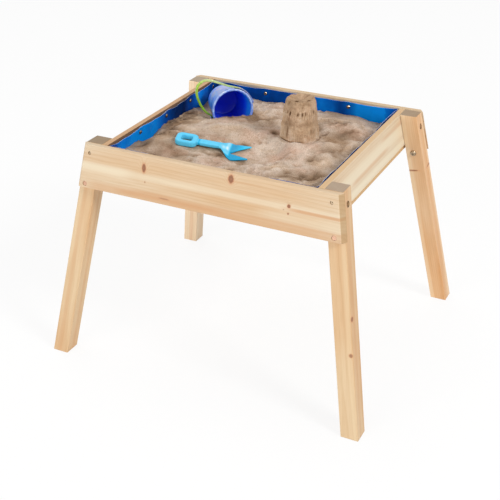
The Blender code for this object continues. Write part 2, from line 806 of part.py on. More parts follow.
lean = radians(handle_lean_deg)
up_strap = rise_axis * cos(lean) - out * sin(lean)
handle_frame = frame_of(across, up_strap, across.cross(up_strap), pivot)
strap = flat_mesh("bucket_handle", [outline], strap_width)
bucket_handle = add("bucket_handle", strap, lime_plastic)
bucket_handle.matrix_world = handle_frame
for side, label in ((-1, "left"), (1, "right")):
    eye = [(0, eye_far), (strap_eye_radius, eye_far), (strap_eye_radius, eye_near), (0, eye_near)]
    combine(bucket_handle, as_cutter(
        turned(f"{label}_eye", eye, steps=20), aim(pivot, across * side)), "UNION")
for side, label in ((-1, "left"), (1, "right")):
    bore = pivot_radius + pivot_clearance
    far = eye_far + overrun
    near = eye_near - overrun
    drill = [(0, far), (bore, far), (bore, near), (0, near)]
    combine(bucket_handle, as_cutter(
        turned(f"{label}_eye_drill", drill, steps=12), aim(pivot, across * side)))

# The strap's buried end swings in a slot in the sand
slot = [
    (0, eye_slot_inner), (eye_slot_radius, eye_slot_inner), (eye_slot_radius, -eye_slot_outer),
    (0, -eye_slot_outer)]
combine(sand_fill, as_cutter(turned("eye_slot", slot, steps=24), aim(left_eye, across)))


# Toy fork

def rounded_rectangle(length, width, corner, steps=4):
    points = []
    for quarter, (sx, sy) in enumerate(((1, 1), (-1, 1), (-1, -1), (1, -1))):
        centre = Vector((sx * (length / 2 - corner), sy * (width / 2 - corner)))
        for step in range(steps + 1):
            angle = (quarter + step / steps) * pi / 2
            points.append(centre + Vector((cos(angle), sin(angle))) * corner)
    return points


def head_half(name):
    # One half of the head's upper face, from its middle line to a tine's outer edge
    rows = len(head_row_shares)
    bm = bmesh.new()
    bmesh.ops.create_grid(bm, x_segments=rows - 1, y_segments=head_columns, size=1)
    for vert in bm.verts:
        row = round((vert.co.x + 1) / 2 * (rows - 1))
        column = (vert.co.y + 1) / 2
        along_share, inner, outer = head_row_shares[row]
        along = along_share * head_length
        y_share = inner + (outer - inner) * column
        droop = head_droop * y_share ** 2 * min((1 - along_share) / (1 - fold_share), 1)
        vert.co = Vector((along, y_share * head_half_width, head_height(along) - droop))
    return mesh_from(bm, name)


grip = flat_mesh(
    "fork", [
        rounded_rectangle(grip_length, grip_width, grip_corner),
        rounded_rectangle(grip_length - 2 * grip_end, grip_width - 2 * grip_side, grip_corner / 2)],
    grip_thickness, fork_edge)
fork = add("fork", grip, cyan_plastic)
fork.matrix_world = fork_frame

shaft_start = (grip_length - grip_end) / 2
shaft_end = head_start + head_overlap
bm = bmesh.new()
bmesh.ops.create_cube(bm, size=1)
bmesh.ops.scale(bm, vec=(shaft_end - shaft_start, shaft_width, shaft_thickness), verts=bm.verts)
bmesh.ops.translate(bm, vec=((shaft_end + shaft_start) / 2, 0, 0), verts=bm.verts)
shaft = as_cutter(bpy.data.objects.new("fork_shaft", mesh_from(bm, "fork_shaft")), fork_frame)
round_edges(shaft, fork_edge, 1)
combine(fork, shaft, "UNION")

head = bpy.data.objects.new("fork_head", head_half("fork_head"))
as_cutter(head, fork_frame @ Matrix.Translation((head_start, 0, 0)))
mirror = head.modifiers.new("both halves", "MIRROR")
mirror.use_axis = (False, True, False)
mirror.merge_threshold = weld_distance
sheet = head.modifiers.new("thickness", "SOLIDIFY")
sheet.thickness = head_thickness
sheet.offset = -1
combine(fork, head, "UNION")

for piece in (bucket, bucket_handle, fork):
    piece.data.shade_smooth()
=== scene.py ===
import json
from math import cos, pi, radians, sin, tan

import bmesh
import bpy
import numpy as np
from mathutils import Matrix, Vector


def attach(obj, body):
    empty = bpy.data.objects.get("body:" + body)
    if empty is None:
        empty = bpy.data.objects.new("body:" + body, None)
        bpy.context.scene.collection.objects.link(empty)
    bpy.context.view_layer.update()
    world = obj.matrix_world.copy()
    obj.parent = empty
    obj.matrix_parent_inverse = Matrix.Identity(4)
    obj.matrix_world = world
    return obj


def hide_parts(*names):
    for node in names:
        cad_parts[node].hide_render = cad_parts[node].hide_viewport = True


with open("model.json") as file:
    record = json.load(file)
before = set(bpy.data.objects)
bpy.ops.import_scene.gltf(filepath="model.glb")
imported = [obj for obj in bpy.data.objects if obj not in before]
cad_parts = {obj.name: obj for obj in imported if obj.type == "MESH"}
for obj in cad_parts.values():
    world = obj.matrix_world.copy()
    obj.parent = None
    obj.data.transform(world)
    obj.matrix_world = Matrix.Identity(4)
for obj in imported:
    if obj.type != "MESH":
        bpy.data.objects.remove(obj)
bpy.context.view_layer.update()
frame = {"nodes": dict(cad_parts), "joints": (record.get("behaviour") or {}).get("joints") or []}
nodes = frame["nodes"]
mm = 0.001


# Camera

camera = {
    "azimuth": 26.904, "elevation": 28.7497, "roll": -0.5226, "distance": 1.8826,
    "target": (0.0782, -0.2028, 0.30), "lens": 70.16, "sensor": 36.0}


def placeCamera(c):
    # Looks from the target back along the azimuth and elevation, then turns about its own axis by the roll
    a, e = radians(c["azimuth"]), radians(c["elevation"])
    back = Vector((sin(a) * cos(e), -cos(a) * cos(e), sin(e)))
    data = bpy.data.cameras.new("camera")
    data.lens = c["lens"]
    data.sensor_width = c["sensor"]
    eye = bpy.data.objects.new("camera", data)
    bpy.context.scene.collection.objects.link(eye)
    turn = back.to_track_quat("Z", "Y").to_matrix().to_4x4()
    eye.matrix_world = (
        Matrix.Translation(Vector(c["target"]) + back * c["distance"])
        @ turn @ Matrix.Rotation(radians(c["roll"]), 4, "Z"))
    bpy.context.scene.camera = eye


placeCamera(camera)
print("camera placed")


# Small helpers for materials. Most add nodes to a tree and give back the socket that comes out of them.

def linear(value):
    # The sRGB curve undone: a straight part at the dark end, a power of 2.4 above it
    return value / 12.92 if value <= 0.04045 else ((value + 0.055) / 1.055) ** 2.4


def colour(text):
    # sRGB hex to the linear colour that Blender's sockets take
    return tuple(linear(int(text[i:i + 2], 16) / 255) for i in (0, 2, 4)) + (1.0,)


def fill(tree, node, inputs):
    # Links each input to a socket, or sets it to a value
    for key, value in inputs.items():
        if isinstance(value, bpy.types.NodeSocket):
            tree.links.new(value, node.inputs[key])
        else:
            node.inputs[key].default_value = value


def addNode(tree, kind, inputs=None, **settings):
    # Settings come first, since some of them change which sockets a node has
    node = tree.nodes.new("ShaderNode" + kind)
    for key, value in settings.items():
        setattr(node, key, value)
    fill(tree, node, inputs or {})
    return node


def newMaterial(name):
    material = bpy.data.materials.new(name)
    material.use_nodes = True
    tree = material.node_tree
    return material, tree, tree.nodes["Principled BSDF"]


def calc(tree, operation, a, b=0.0):
    return addNode(tree, "Math", {0: a, 1: b}, operation=operation).outputs[0]


def times(tree, a, b):
    return calc(tree, "MULTIPLY", a, b)


def plus(tree, a, b):
    return calc(tree, "ADD", a, b)


def minus(tree, a, b):
    return calc(tree, "SUBTRACT", a, b)


def vectorCalc(tree, operation, a, b=(0, 0, 0)):
    # Lengths and dot products come out as a number, all else as a vector
    node = addNode(tree, "VectorMath", {0: a, 1: b}, operation=operation)
    return node.outputs["Value" if operation in ("LENGTH", "DOT_PRODUCT") else "Vector"]


def mapped(tree, value, low, high, start, end, kind="LINEAR"):
    # What lies between low and high, carried over to between start and end
    return addNode(tree, "MapRange", {0: value, 1: low, 2: high, 3: start, 4: end},
                   interpolation_type=kind).outputs[0]


def colourRamp(tree, value, stops):
    # Colours by a value, from a list of (place, hex)
    node = addNode(tree, "ValToRGB", {0: value})
    elements = node.color_ramp.elements
    while len(elements) < len(stops):
        elements.new(0.5)
    for element, (place, text) in zip(elements, stops):
        element.position = place
        element.color = colour(text)
    return node.outputs[0]


def mixColours(tree, factor, a, b, blend="MIX"):
    # The first colour at factor 0, at factor 1 the second one, or their product when it multiplies
    return addNode(
        tree, "Mix", {0: factor, 6: a, 7: b}, data_type="RGBA", blend_type=blend).outputs[2]


def noiseValue(tree, place, scale, detail=3.0, roughness=0.55):
    return addNode(tree, "TexNoise", {
        "Vector": place, "Scale": scale, "Detail": detail, "Roughness": roughness}).outputs[0]


def bumped(tree, height, strength, distance):
    return addNode(tree, "Bump", {"Height": height, "Strength": strength, "Distance": distance}).outputs[0]


def objectPlace(tree):
    # Metres in the piece's own frame, so a pattern rides with the piece
    return addNode(tree, "TexCoord").outputs["Object"]


def surfaceNormal(tree):
    return addNode(tree, "NewGeometry").outputs["Normal"]


def upwardness(tree):
    # 1 on what faces up, 0 on walls, -1 underneath
    return addNode(tree, "SeparateXYZ", {0: surfaceNormal(tree)}).outputs[2]


def pointValue(tree, name):
    # A number that the mesh carries at its points
    return addNode(tree, "Attribute", attribute_name=name).outputs["Fac"]


def seenDirectly(tree):
    # 1 for rays from the camera and for those that only a mirror or a clear thing has turned
    path = addNode(tree, "LightPath").outputs
    return calc(tree, "MAXIMUM", path["Is Camera Ray"], calc(
        tree, "MAXIMUM", path["Is Glossy Ray"], path["Is Transmission Ray"]))


def coat(name, material):
    # Gives a piece of the CAD this material and no other
    nodes[name].data.materials.clear()
    nodes[name].data.materials.append(material)


# Pine: planed softwood under a clear matt coat. Pale early wood, honey late wood in rings about a pith
# that lies off the board, fine fibres along the grain, and red-brown knots that the rings flow round.

pineLook = {
    "early": "F3DFC6", "late": "DDBA92", "warm": "EDCCA8", "cream": "FBEBD3", "orange": "DCA476",
    "endGrain": "BF986A", "endRing": "9C744C", "stain": "E4E5DF", "streak": "E0CDB4",
    "knotTones": [(0.0, "AA6036"), (0.5, "824628"), (0.8, "AA6036"), (1.0, "E0A078")],
    "ringTones": [(0.0, "101010"), (0.45, "282828"), (0.82, "989898"), (0.93, "A8A8A8"), (1.0, "101010")],
    "warmth": 0.75, "bands": [], "sawn": [], "spacing": 6.5 * mm, "taper": 0.012, "warp": 9 * mm,
    "fibre": 1.1 * mm, "bandEnd": 50 * mm, "roughness": 0.52}


def pineMaterial(name, board):
    # board: what it changes of the look. Its origin and turn bring +X along the grain and +Z through the
    # thickness; pith is (y, z) of the tree's heart in metres. Knots are (x, y, half length, half width,
    # darkness) on the face, bands (y, half width, start, end, tone, weight) along it, both in mm.
    look = {**pineLook, **board}
    material, tree, shader = newMaterial(name)
    atObject = objectPlace(tree)
    place = addNode(tree, "Mapping", {
        "Vector": atObject, "Location": look["origin"], "Rotation": look["turn"]},
        vector_type="TEXTURE").outputs[0]
    shifted = vectorCalc(tree, "ADD", place, (look["seed"] * 1.7, look["seed"] * 0.9, 0))

    def streaks(along, across, detail=2.0, roughness=0.55):
        # Noise drawn out along the grain
        drawnOut = vectorCalc(tree, "MULTIPLY", shifted, (along, across, across))
        return noiseValue(tree, drawnOut, 1.0, detail, roughness)

    x, y, z = addNode(tree, "SeparateXYZ", {0: place}).outputs
    wander = times(tree, minus(tree, streaks(2.2, 9.0), 0.5), look["warp"] * 2)
    pithY, pithZ = look["pith"]
    away = addNode(tree, "CombineXYZ", {
        0: 0.0, 1: plus(tree, minus(tree, y, pithY), wander), 2: minus(tree, z, pithZ)}).outputs[0]
    ringPlace = plus(tree, vectorCalc(tree, "LENGTH", away), times(tree, x, look["taper"]))

    knotMasks = []
    for knotX, knotY, halfLength, halfWidth, darkness in look["knots"]:
        offset = vectorCalc(tree, "SUBTRACT", place, (knotX * mm, knotY * mm, 0))
        offset = vectorCalc(tree, "MULTIPLY", offset, (1 / (halfLength * mm), 1 / (halfWidth * mm), 0))
        uneven = minus(tree, times(tree, noiseValue(tree, atObject, 260.0, 2.0), 0.5), 0.25)
        reach = plus(tree, vectorCalc(tree, "LENGTH", offset), uneven)
        swell = mapped(tree, reach, 0.0, 3.2, halfWidth * mm * 1.6, 0.0, "SMOOTHERSTEP")
        ringPlace = plus(tree, ringPlace, swell)
        knotMasks.append((reach, darkness))

    drift = times(tree, streaks(0.8, 22.0), 2.2)
    rings = calc(tree, "FRACT", plus(tree, calc(tree, "DIVIDE", ringPlace, look["spacing"]), drift))
    late = times(tree, colourRamp(tree, rings, look["ringTones"]), plus(tree, streaks(1.2, 30.0), 0.15))
    fibre = streaks(14.0, 1 / look["fibre"], 2.0, 0.7)
    wood = mixColours(tree, late, colour(look["early"]), colour(look["late"]))
    broad = mapped(tree, streaks(1.6, 12.0, 3.0), 0.42, 0.68, 0.0, look["warmth"])
    wood = mixColours(tree, broad, wood, colour(look["warm"]), "MULTIPLY")
    tint = colourRamp(tree, fibre, [(0.25, "E4D6C4"), (0.5, "FFFFFF"), (0.8, "FFFFFF")])
    wood = mixColours(tree, 0.55, wood, tint, "MULTIPLY")

    for bandY, halfWidth, start, end, tone, weight in look["bands"]:
        aside = plus(tree, y, times(tree, wander, 0.35))
        edge = calc(tree, "ABSOLUTE", minus(tree, aside, bandY * mm))
        mask = mapped(tree, edge, halfWidth * mm * 0.3, halfWidth * mm * 1.4, weight, 0.0, "SMOOTHSTEP")
        for at, inwards in ((start * mm, look["bandEnd"]), (end * mm, -look["bandEnd"])):
            mask = times(tree, mask, mapped(tree, x, at, at + inwards, 0.0, 1.0, "SMOOTHSTEP"))
        wood = mixColours(tree, mask, wood, colour(look[tone]))

    for reach, darkness in knotMasks:
        mask = mapped(tree, reach, 0.75, 1.5, darkness, 0.0, "SMOOTHSTEP")
        wood = mixColours(tree, mask, wood, colourRamp(tree, reach, look["knotTones"]))

    def facing(direction):
        return vectorCalc(tree, "DOT_PRODUCT", surfaceNormal(tree), direction)

    grainAxis = Matrix.Rotation(look["turn"][2], 4, "Z") @ Matrix.Rotation(look["turn"][1], 4, "Y")
    grainAxis = (grainAxis @ Vector((1, 0, 0))).normalized()
    endFace = mapped(tree, calc(tree, "ABSOLUTE", facing(grainAxis)), 0.6, 0.85, 0.0, 0.85)
    wood = mixColours(tree, endFace, wood, mixColours(
        tree, times(tree, late, 0.9), colour(look["endGrain"]), colour(look["endRing"])))
    wood = mixColours(tree, 1.0, wood, colour(look["stain"]), "MULTIPLY")
    for direction, tone, weight in look["sawn"]:
        # a sawn face of a board, duller and browner than its planed ones, told by the way it looks; the dark
        # brown on the left board's inner face is painted shade above the liner
        streak = mixColours(tree, fibre, colour("FFFFFF"), colour(look["streak"]))
        sawn = mixColours(tree, 1.0, colour(tone), streak, "MULTIPLY")
        wood = mixColours(tree, mapped(tree, facing(direction), 0.6, 0.85, 0.0, weight), wood, sawn)

    relief = plus(tree, times(tree, late, 0.5), times(tree, fibre, 0.8))
    fill(tree, shader, {
        "Base Color": wood, "Normal": bumped(tree, relief, 0.35, 0.25 * mm), "Roughness": look["roughness"],
        "Specular IOR Level": 0.35, "Coat Weight": 0.06, "Coat Roughness": 0.35})
    return material


# Each board of the frame: where its grain runs and where its knots are. A leg's grain leans with it.

splayX, splayY = radians(9.8), radians(9.7)
tableTop = 0.470
topHalfX, topHalfY = 0.272, 0.2205
legSide = 0.036
upright = (radians(90), 0, 0)
uprightAlongY = (radians(90), 0, radians(90))


def alongVector(direction):
    # Turn that brings +X onto a direction, as Euler angles
    spot = Vector(direction).normalized()
    return (0.0, -np.arcsin(spot.z), np.arctan2(spot.y, spot.x))


boards = {
    "front_plank": {
        "origin": (0, -0.240, 0.426), "turn": upright, "pith": (-0.055, 0.020), "seed": 3.1,
        "knots": [
            (-131, 20, 4.8, 9.5, 0.85), (56.5, 33, 6.0, 9.0, 0.85), (176, 5, 3.6, 3.8, 0.9),
            (175.5, -9, 2.2, 2.0, 0.75), (-128, -7, 1.6, 1.9, 0.6), (-84, -32, 13, 1.8, 0.40),
            (166, -3, 1.6, 1.2, 0.4)],
        "bands": [
            (2, 7, -400, 360, "cream", 0.50), (0, 13, -420, -140, "cream", 0.55),
            (-36, 12, -280, 420, "orange", 0.42), (-35, 4.5, -210, 60, "orange", 0.55),
            (-28, 2.2, -170, -40, "orange", 0.5), (0, 3.6, 150, 360, "orange", 0.8),
            (-17, 10, 100, 400, "cream", 0.30), (-29, 2.0, -100, 360, "orange", 0.25),
            (30, 2.2, 20, 140, "orange", 0.35)]},
    "back_plank": {
        "origin": (0, 0.240, 0.426), "turn": upright, "pith": (0.070, -0.030), "seed": 7.7,
        "sawn": [((0, 0, 1), "D9C09C", 0.85)],
        "knots": [(90, 14, 5, 8, 0.85), (-150, -20, 4, 6, 0.8)],
        "bands": [(10, 9, -420, 420, "cream", 0.6), (-30, 8, -420, 420, "orange", 0.3)]},
    "left_side_board": {
        "origin": (-0.235, 0, 0.434), "turn": uprightAlongY, "pith": (0.060, 0.020), "seed": 1.3,
        # its inner face (+X) is painted dark brown: painted shade between the board's top and the liner
        "sawn": [((0, 0, 1), "CDA478", 0.9), ((1, 0, 0), "6E4630", 0.85)],
        "knots": [(50, -10, 4, 6, 0.8)],
        "bands": [(4, 8, -420, 420, "cream", 0.6)]},
    "right_side_board": {
        "origin": (0.235, 0, 0.434), "turn": uprightAlongY, "pith": (-0.050, -0.010), "seed": 5.2,
        "warmth": 0.35, "sawn": [((0, 0, 1), "DDBB8E", 0.8)], "knots": [],
        "bands": [
            (4, 16, -420, 420, "cream", 0.75), (-8, 5, -120, 120, "orange", 0.45),
            (18, 5, 50, 300, "orange", 0.40), (-26, 8, -420, 420, "cream", 0.8)]}}

legs = {
    "front_left_leg": {"stain": "E2D7C2", "knots": [(-330, 6, 5, 3, 0.5)]},
    "front_right_leg": {
        "stain": "E2D7C2", "endGrain": "B4A7A0", "endRing": "948478",
        "knots": [(-245, -4, 5, 4, 0.8), (-315, 3, 4, 3, 0.7)]},
    # the back legs' paler stain is painted light, lifting them out of the shade under the table
    "back_left_leg": {"stain": "FFFCF4", "warmth": 0.2, "knots": [(-200, 4, 5, 4, 0.6)]},
    "back_right_leg": {"stain": "F2E8D8", "knots": [(-130, 4, 2.2, 12, 0.75), (-215, -3, 3, 2.4, 0.8)]}}

for index, (legName, leg) in enumerate(legs.items()):
    front = -1 if legName.startswith("front") else 1
    side = -1 if "left" in legName else 1
    boards[legName] = {
        "origin": (side * (topHalfX - legSide / 2), front * (topHalfY - legSide / 2), tableTop),
        "turn": alongVector((-side * tan(splayX), -front * tan(splayY), 1)),
        "pith": (0.030 + 0.006 * index, side * 0.024), "seed": 11.0 + 2.3 * index, "spacing": 5.0 * mm,
        "warmth": 1.0, "endGrain": "93826E", "endRing": "77675C",
        "bands": [(-11, 4, -600, 100, "orange", 0.30), (4, 4, -600, 100, "cream", 0.45)], **leg}


# Plywood of the floor: birch faces, thin plies on the edges

def plywoodMaterial():
    # What faces up or down shows the grain of the outer ply, and an edge shows a layer every 2.4 mm
    material, tree, shader = newMaterial("birchPlywood")
    place = objectPlace(tree)
    faceGrain = vectorCalc(tree, "MULTIPLY", place, (6, 90, 600))
    grain = colourRamp(tree, noiseValue(tree, faceGrain, 1.0, 4.0), [
        (0.3, "C79E6C"), (0.55, "DAB684"), (0.75, "E5C698")])
    height = addNode(tree, "SeparateXYZ", {0: place}).outputs[2]
    plies = calc(tree, "FRACT", calc(tree, "DIVIDE", height, 2.4 * mm))
    edge = colourRamp(tree, plies, [(0.0, "A57C50"), (0.48, "B98F5F"), (0.52, "DDBB8A")])
    flat = calc(tree, "GREATER_THAN", calc(tree, "ABSOLUTE", upwardness(tree)), 0.7)
    fill(tree, shader, {
        "Base Color": mixColours(tree, flat, edge, grain), "Roughness": 0.65,
        "Normal": bumped(tree, noiseValue(tree, faceGrain, 1.0, 3.0), 0.3, 0.3 * mm)})
    return material


# Metals: zinc with a yellow passivate on the frame's fasteners, brassed steel on the liner's screws

def metalMaterial(name, base, worn, roughness):
    # Cloudy plating, worn duller in patches, glossier in some places than in others
    material, tree, shader = newMaterial(name)
    place = objectPlace(tree)
    fill(tree, shader, {
        "Base Color": colourRamp(tree, noiseValue(tree, place, 420.0, 3.0), [(0.35, base), (0.7, worn)]),
        "Roughness": mapped(
            tree, noiseValue(tree, place, 900.0, 2.0), 0.3, 0.7, roughness * 0.8, roughness * 1.3),
        "Metallic": 1.0})
    return material


def giveMetals():
    # The fasteners tell by their names what they are made of
    zinc = metalMaterial("yellowZincPlate", "B7A48A", "93806A", 0.34)
    brass = metalMaterial("brassedSteel", "A8937C", "6A5848", 0.22)
    copperNut = metalMaterial("copperyZincPlate", "C9A48C", "A47E68", 0.36)
    for name in nodes:
        if name.endswith(("_screw", "_bolt")) or "floor_screw" in name:
            coat(name, zinc)
        elif name.endswith("_bolt_nut"):
            coat(name, copperNut)
        elif "liner_screw" in name:
            coat(name, brass)


# Numpy surfaces

latticeSize = 64


def softNoise(x, y, cell, seed):
    # Random heights on a square lattice of that cell, joined by a smooth quintic blend
    table = np.random.default_rng(seed).uniform(-1, 1, (latticeSize, latticeSize))
    u, v = x / cell, y / cell
    i, j = np.floor(u).astype(int), np.floor(v).astype(int)
    s, t = u - i, v - j
    s = s ** 3 * (s * (s * 6 - 15) + 10)
    t = t ** 3 * (t * (t * 6 - 15) + 10)
    i0, i1, j0, j1 = (k % latticeSize for k in (i, i + 1, j, j + 1))
    low = table[i0, j0] * (1 - s) + table[i1, j0] * s
    high = table[i0, j1] * (1 - s) + table[i1, j1] * s
    return low * (1 - t) + high * t


def layeredNoise(x, y, cell, layers, seed, fall=0.5):
    # Soft noise, with each further layer half as wide, lower by the fall, and begun elsewhere on its lattice
    total = 0
    for layer in range(layers):
        total = total + softNoise(x + layer * 7.31 * cell, y, cell / 2 ** layer, seed + layer) * fall ** layer
    return total


def sheetFaces(rows, columns, wrapRows=False, wrapColumns=False):
    # Quads between the points of a grid, joined end to end where it wraps
    i = np.arange(rows if wrapRows else rows - 1)
    j = np.arange(columns if wrapColumns else columns - 1)
    i, j = np.meshgrid(i, j, indexing="ij")
    i1, j1 = (i + 1) % rows, (j + 1) % columns
    quads = np.stack([i * columns + j, i1 * columns + j, i1 * columns + j1, i * columns + j1], -1)
    return quads.reshape(-1, 4)


def shell(points, wrapRows=False, wrapColumns=False, closeStart=False, closeEnd=False):
    # A grid of points (rows, columns, 3) as one surface; an open end is closed by a fan to its middle
    rows, columns = points.shape[:2]
    verts = points.reshape(-1, 3)
    faces = [list(face) for face in sheetFaces(rows, columns, wrapRows, wrapColumns)]
    for closing, row in ((closeStart, 0), (closeEnd, rows - 1)):
        if closing:
            middle = len(verts)
            verts = np.vstack([verts, points[row].mean(0)])
            ring = [row * columns + k for k in range(columns)]
            faces += [[ring[k], ring[(k + 1) % columns], middle] for k in range(columns)]
    return verts, faces


def makePiece(name, shells, materials, body, faceSlot=None, smooth=True):
    # Joins shells into one mesh, merges its doubles, turns its faces outwards, and lets it ride on a body
    verts, faces, count = [], [], 0
    for points, quads in shells:
        verts.append(points)
        faces += [[k + count for k in face] for face in quads]
        count += len(points)
    mesh = bpy.data.meshes.new(name)
    mesh.from_pydata(np.vstack(verts).tolist(), [], faces)
    bm = bmesh.new()
    bm.from_mesh(mesh)
    bmesh.ops.remove_doubles(bm, verts=bm.verts, dist=0.00001)
    bmesh.ops.recalc_face_normals(bm, faces=bm.faces)
    bm.to_mesh(mesh)
    bm.free()
    for material in materials:
        mesh.materials.append(material)
    if faceSlot is not None:
        middles = np.empty(len(mesh.polygons) * 3)
        mesh.polygons.foreach_get("center", middles)
        slots = faceSlot(middles.reshape(-1, 3)).astype(np.int32)
        mesh.polygons.foreach_set("material_index", slots)
    mesh.polygons.foreach_set("use_smooth", np.full(len(mesh.polygons), smooth))
    piece = bpy.data.objects.new(name, mesh)
    bpy.context.scene.collection.objects.link(piece)
    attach(piece, body)
    return piece


def pointsOf(piece):
    # Its vertices as they were made, in world metres at rest
    points = np.empty(len(piece.data.vertices) * 3)
    piece.data.vertices.foreach_get("co", points)
    return points.reshape(-1, 3)


def markPoints(piece, name, values):
    # A number at every point, which the material reads by that name
    layer = piece.data.attributes.new(name, "FLOAT", "POINT")
    layer.data.foreach_set("value", np.asarray(values, dtype=np.float32))


def toWorld(points, matrix):
    # Turned by the matrix, then moved by it
    m = np.array(matrix)
    return points @ m[:3, :3].T + m[:3, 3]


def smoothStep(value):
    # 0 up to 0, 1 from 1 on, and an even S between
    value = np.clip(value, 0, 1)
    return value * value * (3 - 2 * value)


def bell(value, width):
    # 1 at nothing, falling off both ways: e to the power of minus the square of value over width
    return np.exp(-(value / width) ** 2)


def lathe(profile, steps):
    # A profile of (radius, height) turned about Z: x = r cos a, y = r sin a
    profile = np.array(profile, float)
    angle = np.linspace(0, 2 * pi, steps, endpoint=False)
    r, z = profile[:, :1], profile[:, 1:]
    return np.stack([r * np.cos(angle), r * np.sin(angle), z + 0 * angle], -1)


def smoothCurve(points, steps):
    # A curve through all points; the slope at each comes from its neighbours (Catmull-Rom)
    p = np.array(points, float)
    before, start = np.vstack([p[:1], p[:-2]]), p[:-1]
    end, after = p[1:], np.vstack([p[2:], p[-1:]])
    t = (np.arange(steps) / steps)[None, :, None]
    before, start, end, after = (a[:, None, :] for a in (before, start, end, after))
    route = (start * 2 + (end - before) * t + (before * 2 - start * 5 + end * 4 - after) * t ** 2
             + (start * 3 - before - end * 3 + after) * t ** 3) / 2
    return np.vstack([route.reshape(-1, p.shape[1]), p[-1:]])


quarters = ((1, 1), (-1, 1), (-1, -1), (1, -1))     # signs of x and y, counter-clockwise


def roundedOutline(halfX, halfY, corner, steps):
    # A rectangle with quarter-circle corners, as points around it
    points = []
    for quarter, (sx, sy) in enumerate(quarters):
        angle = (quarter + np.linspace(0, 1, steps)) * pi / 2
        x, y = sx * (halfX - corner) + corner * np.cos(angle), sy * (halfY - corner) + corner * np.sin(angle)
        points.append(np.stack([x, y], -1))
    return np.vstack(points)


def squaredRound(angle, powerX, powerY):
    # Cosine and sine, each raised to a power below 1, which brings a round section near a square one
    return [np.sign(wave) * np.abs(wave) ** power for wave, power in (
        (np.cos(angle), powerX), (np.sin(angle), powerY))]


def frameOf(xAxis, yAxis, zAxis, at):
    # The matrix that lays X, Y and Z along three axes, with its origin at a place
    return Matrix.Translation(at) @ Matrix((xAxis, yAxis, zAxis)).transposed().to_4x4()


# Where the toys lie. The bucket's frame has +Z out of its mouth and +X along the pivots of its handle.

joints = {joint["name"]: joint for joint in frame["joints"]}
pivot = Vector(joints["bail_swing"]["pos_m"])
across = Vector(joints["bail_swing"]["axis"]).normalized()
bucketSize = {
    "heading": 43.5, "tilt": 4.0, "pivotDrop": 10.0 * mm, "mouthRadius": 46.2 * mm, "lip": 2.2 * mm,
    "lipHeight": 5.0 * mm, "wall": 1.8 * mm, "baseRadius": 34.0 * mm, "depth": 86.0 * mm, "steps": 128,
    "pinRadius": 2.2 * mm, "pinHead": 3.4 * mm, "pinReach": 49.9 * mm, "pinHeadHeight": 1.0 * mm}
heading, tilt = radians(bucketSize["heading"]), radians(bucketSize["tilt"])
outward = Vector((sin(heading) * cos(tilt), -cos(heading) * cos(tilt), sin(tilt)))
riseAxis = outward.cross(across)
mouth = pivot + outward * bucketSize["pivotDrop"]
bucketFrame = frameOf(across, riseAxis, outward, mouth)

handleSize = {
    "halfWidth": 48.3 * mm, "height": 83.0 * mm, "lean": 6.0, "thickness": 2.6 * mm, "width": 10.0 * mm,
    "corner": 0.8 * mm, "swell": 1.7, "eyeRadius": 6.0 * mm, "eyeBore": 2.3 * mm, "eyeEdge": 0.5 * mm,
    "route": [
        (-1.00, 0.00), (-1.00, 0.035), (-1.03, 0.07), (-1.16, 0.17), (-1.27, 0.34), (-1.31, 0.54),
        (-1.28, 0.73), (-1.13, 0.90), (-0.83, 0.97), (-0.52, 0.92), (-0.16, 0.77), (0.18, 0.61),
        (0.46, 0.51), (0.69, 0.42), (0.865, 0.29), (0.97, 0.13), (1.00, 0.04), (1.00, 0.00)]}

forkSize = {
    "middle": (-0.1190, -0.09201, 0.4530), "heading": 17.6, "pitch": -7.4, "roll": 5.0,
    "gripLength": 45 * mm, "gripWidth": 39 * mm, "gripThickness": 12 * mm, "gripSide": 9 * mm,
    "gripEnd": 11.5 * mm, "gripCorner": 11 * mm, "shaftLength": 45 * mm, "shaftWidth": 17 * mm,
    "shaftThickness": 8 * mm, "headLength": 62 * mm, "headHalfWidth": 32.2 * mm, "headThickness": 2.8 * mm,
    "droop": 2.0 * mm, "plateDrop": 21.0, "tineDrop": 1.0, "fold": 0.46, "bedGap": 1.5 * mm,
    "bedStart": 18.5 * mm, "bedFade": 40 * mm}
headStart = forkSize["gripLength"] / 2 + forkSize["shaftLength"]


# Sand: damp play sand, raked by hands. The same heaps and hollows as its solid, with lumps, dents and
# grains on top.

sandSize = {
    "low": 0.4001, "level": 0.4381, "depth": 38 * mm, "ripple": 1.2 * mm, "rippleLength": 62 * mm,
    "castle": (0.06971, 0.04384), "castleFace": -63.0, "castleRadius": 41.5 * mm,
    "moatWidth": 14 * mm, "moatDepth": 6 * mm, "eyeHollow": (20 * mm, 8 * mm),
    "banked": 0.4452, "bankReach": 7 * mm, "groove": 2.2 * mm, "grooveWidth": 1.6 * mm, "cells": 290,
    "lumps": [  # place and radius as shares of the tray's half width, rise as a share of the depth
        (-0.97, -0.26, 0.15, -0.42), (-0.98, 0.16, 0.22, -0.08), (-0.95, 0.74, 0.25, -0.52),
        (-0.45, 0.95, 0.26, -0.14), (0.17, 0.97, 0.24, -0.14), (0.84, 0.92, 0.22, -0.44),
        (-0.40, 0.09, 0.27, 0.18), (-0.13, 0.34, 0.17, -0.12), (-0.82, -0.10, 0.24, 0.12),
        (0.45, 0.60, 0.19, 0.16), (0.68, 0.58, 0.20, 0.20), (0.84, 0.30, 0.26, 0.20),
        (0.63, -0.04, 0.20, 0.18), (0.70, -0.53, 0.13, -0.16), (0.55, -0.72, 0.26, 0.22),
        (0.14, -0.62, 0.24, 0.12), (-0.29, -0.62, 0.18, 0.16), (-0.72, -0.72, 0.22, 0.08),
        (0.26, -0.22, 0.22, 0.10), (-0.93, -0.95, 0.16, -0.30), (0.93, -0.90, 0.16, -0.10)]}

linerWall = 1.1 * mm / cos(splayX)       # sheet and clearance between the boards and the sand
boardThickness = 12 * mm
joinGap = 0.3 * mm

# Half widths of the tray between the boards, and of the sand inside the liner: the top's own, wider by the
# splay's tangent for each metre further down

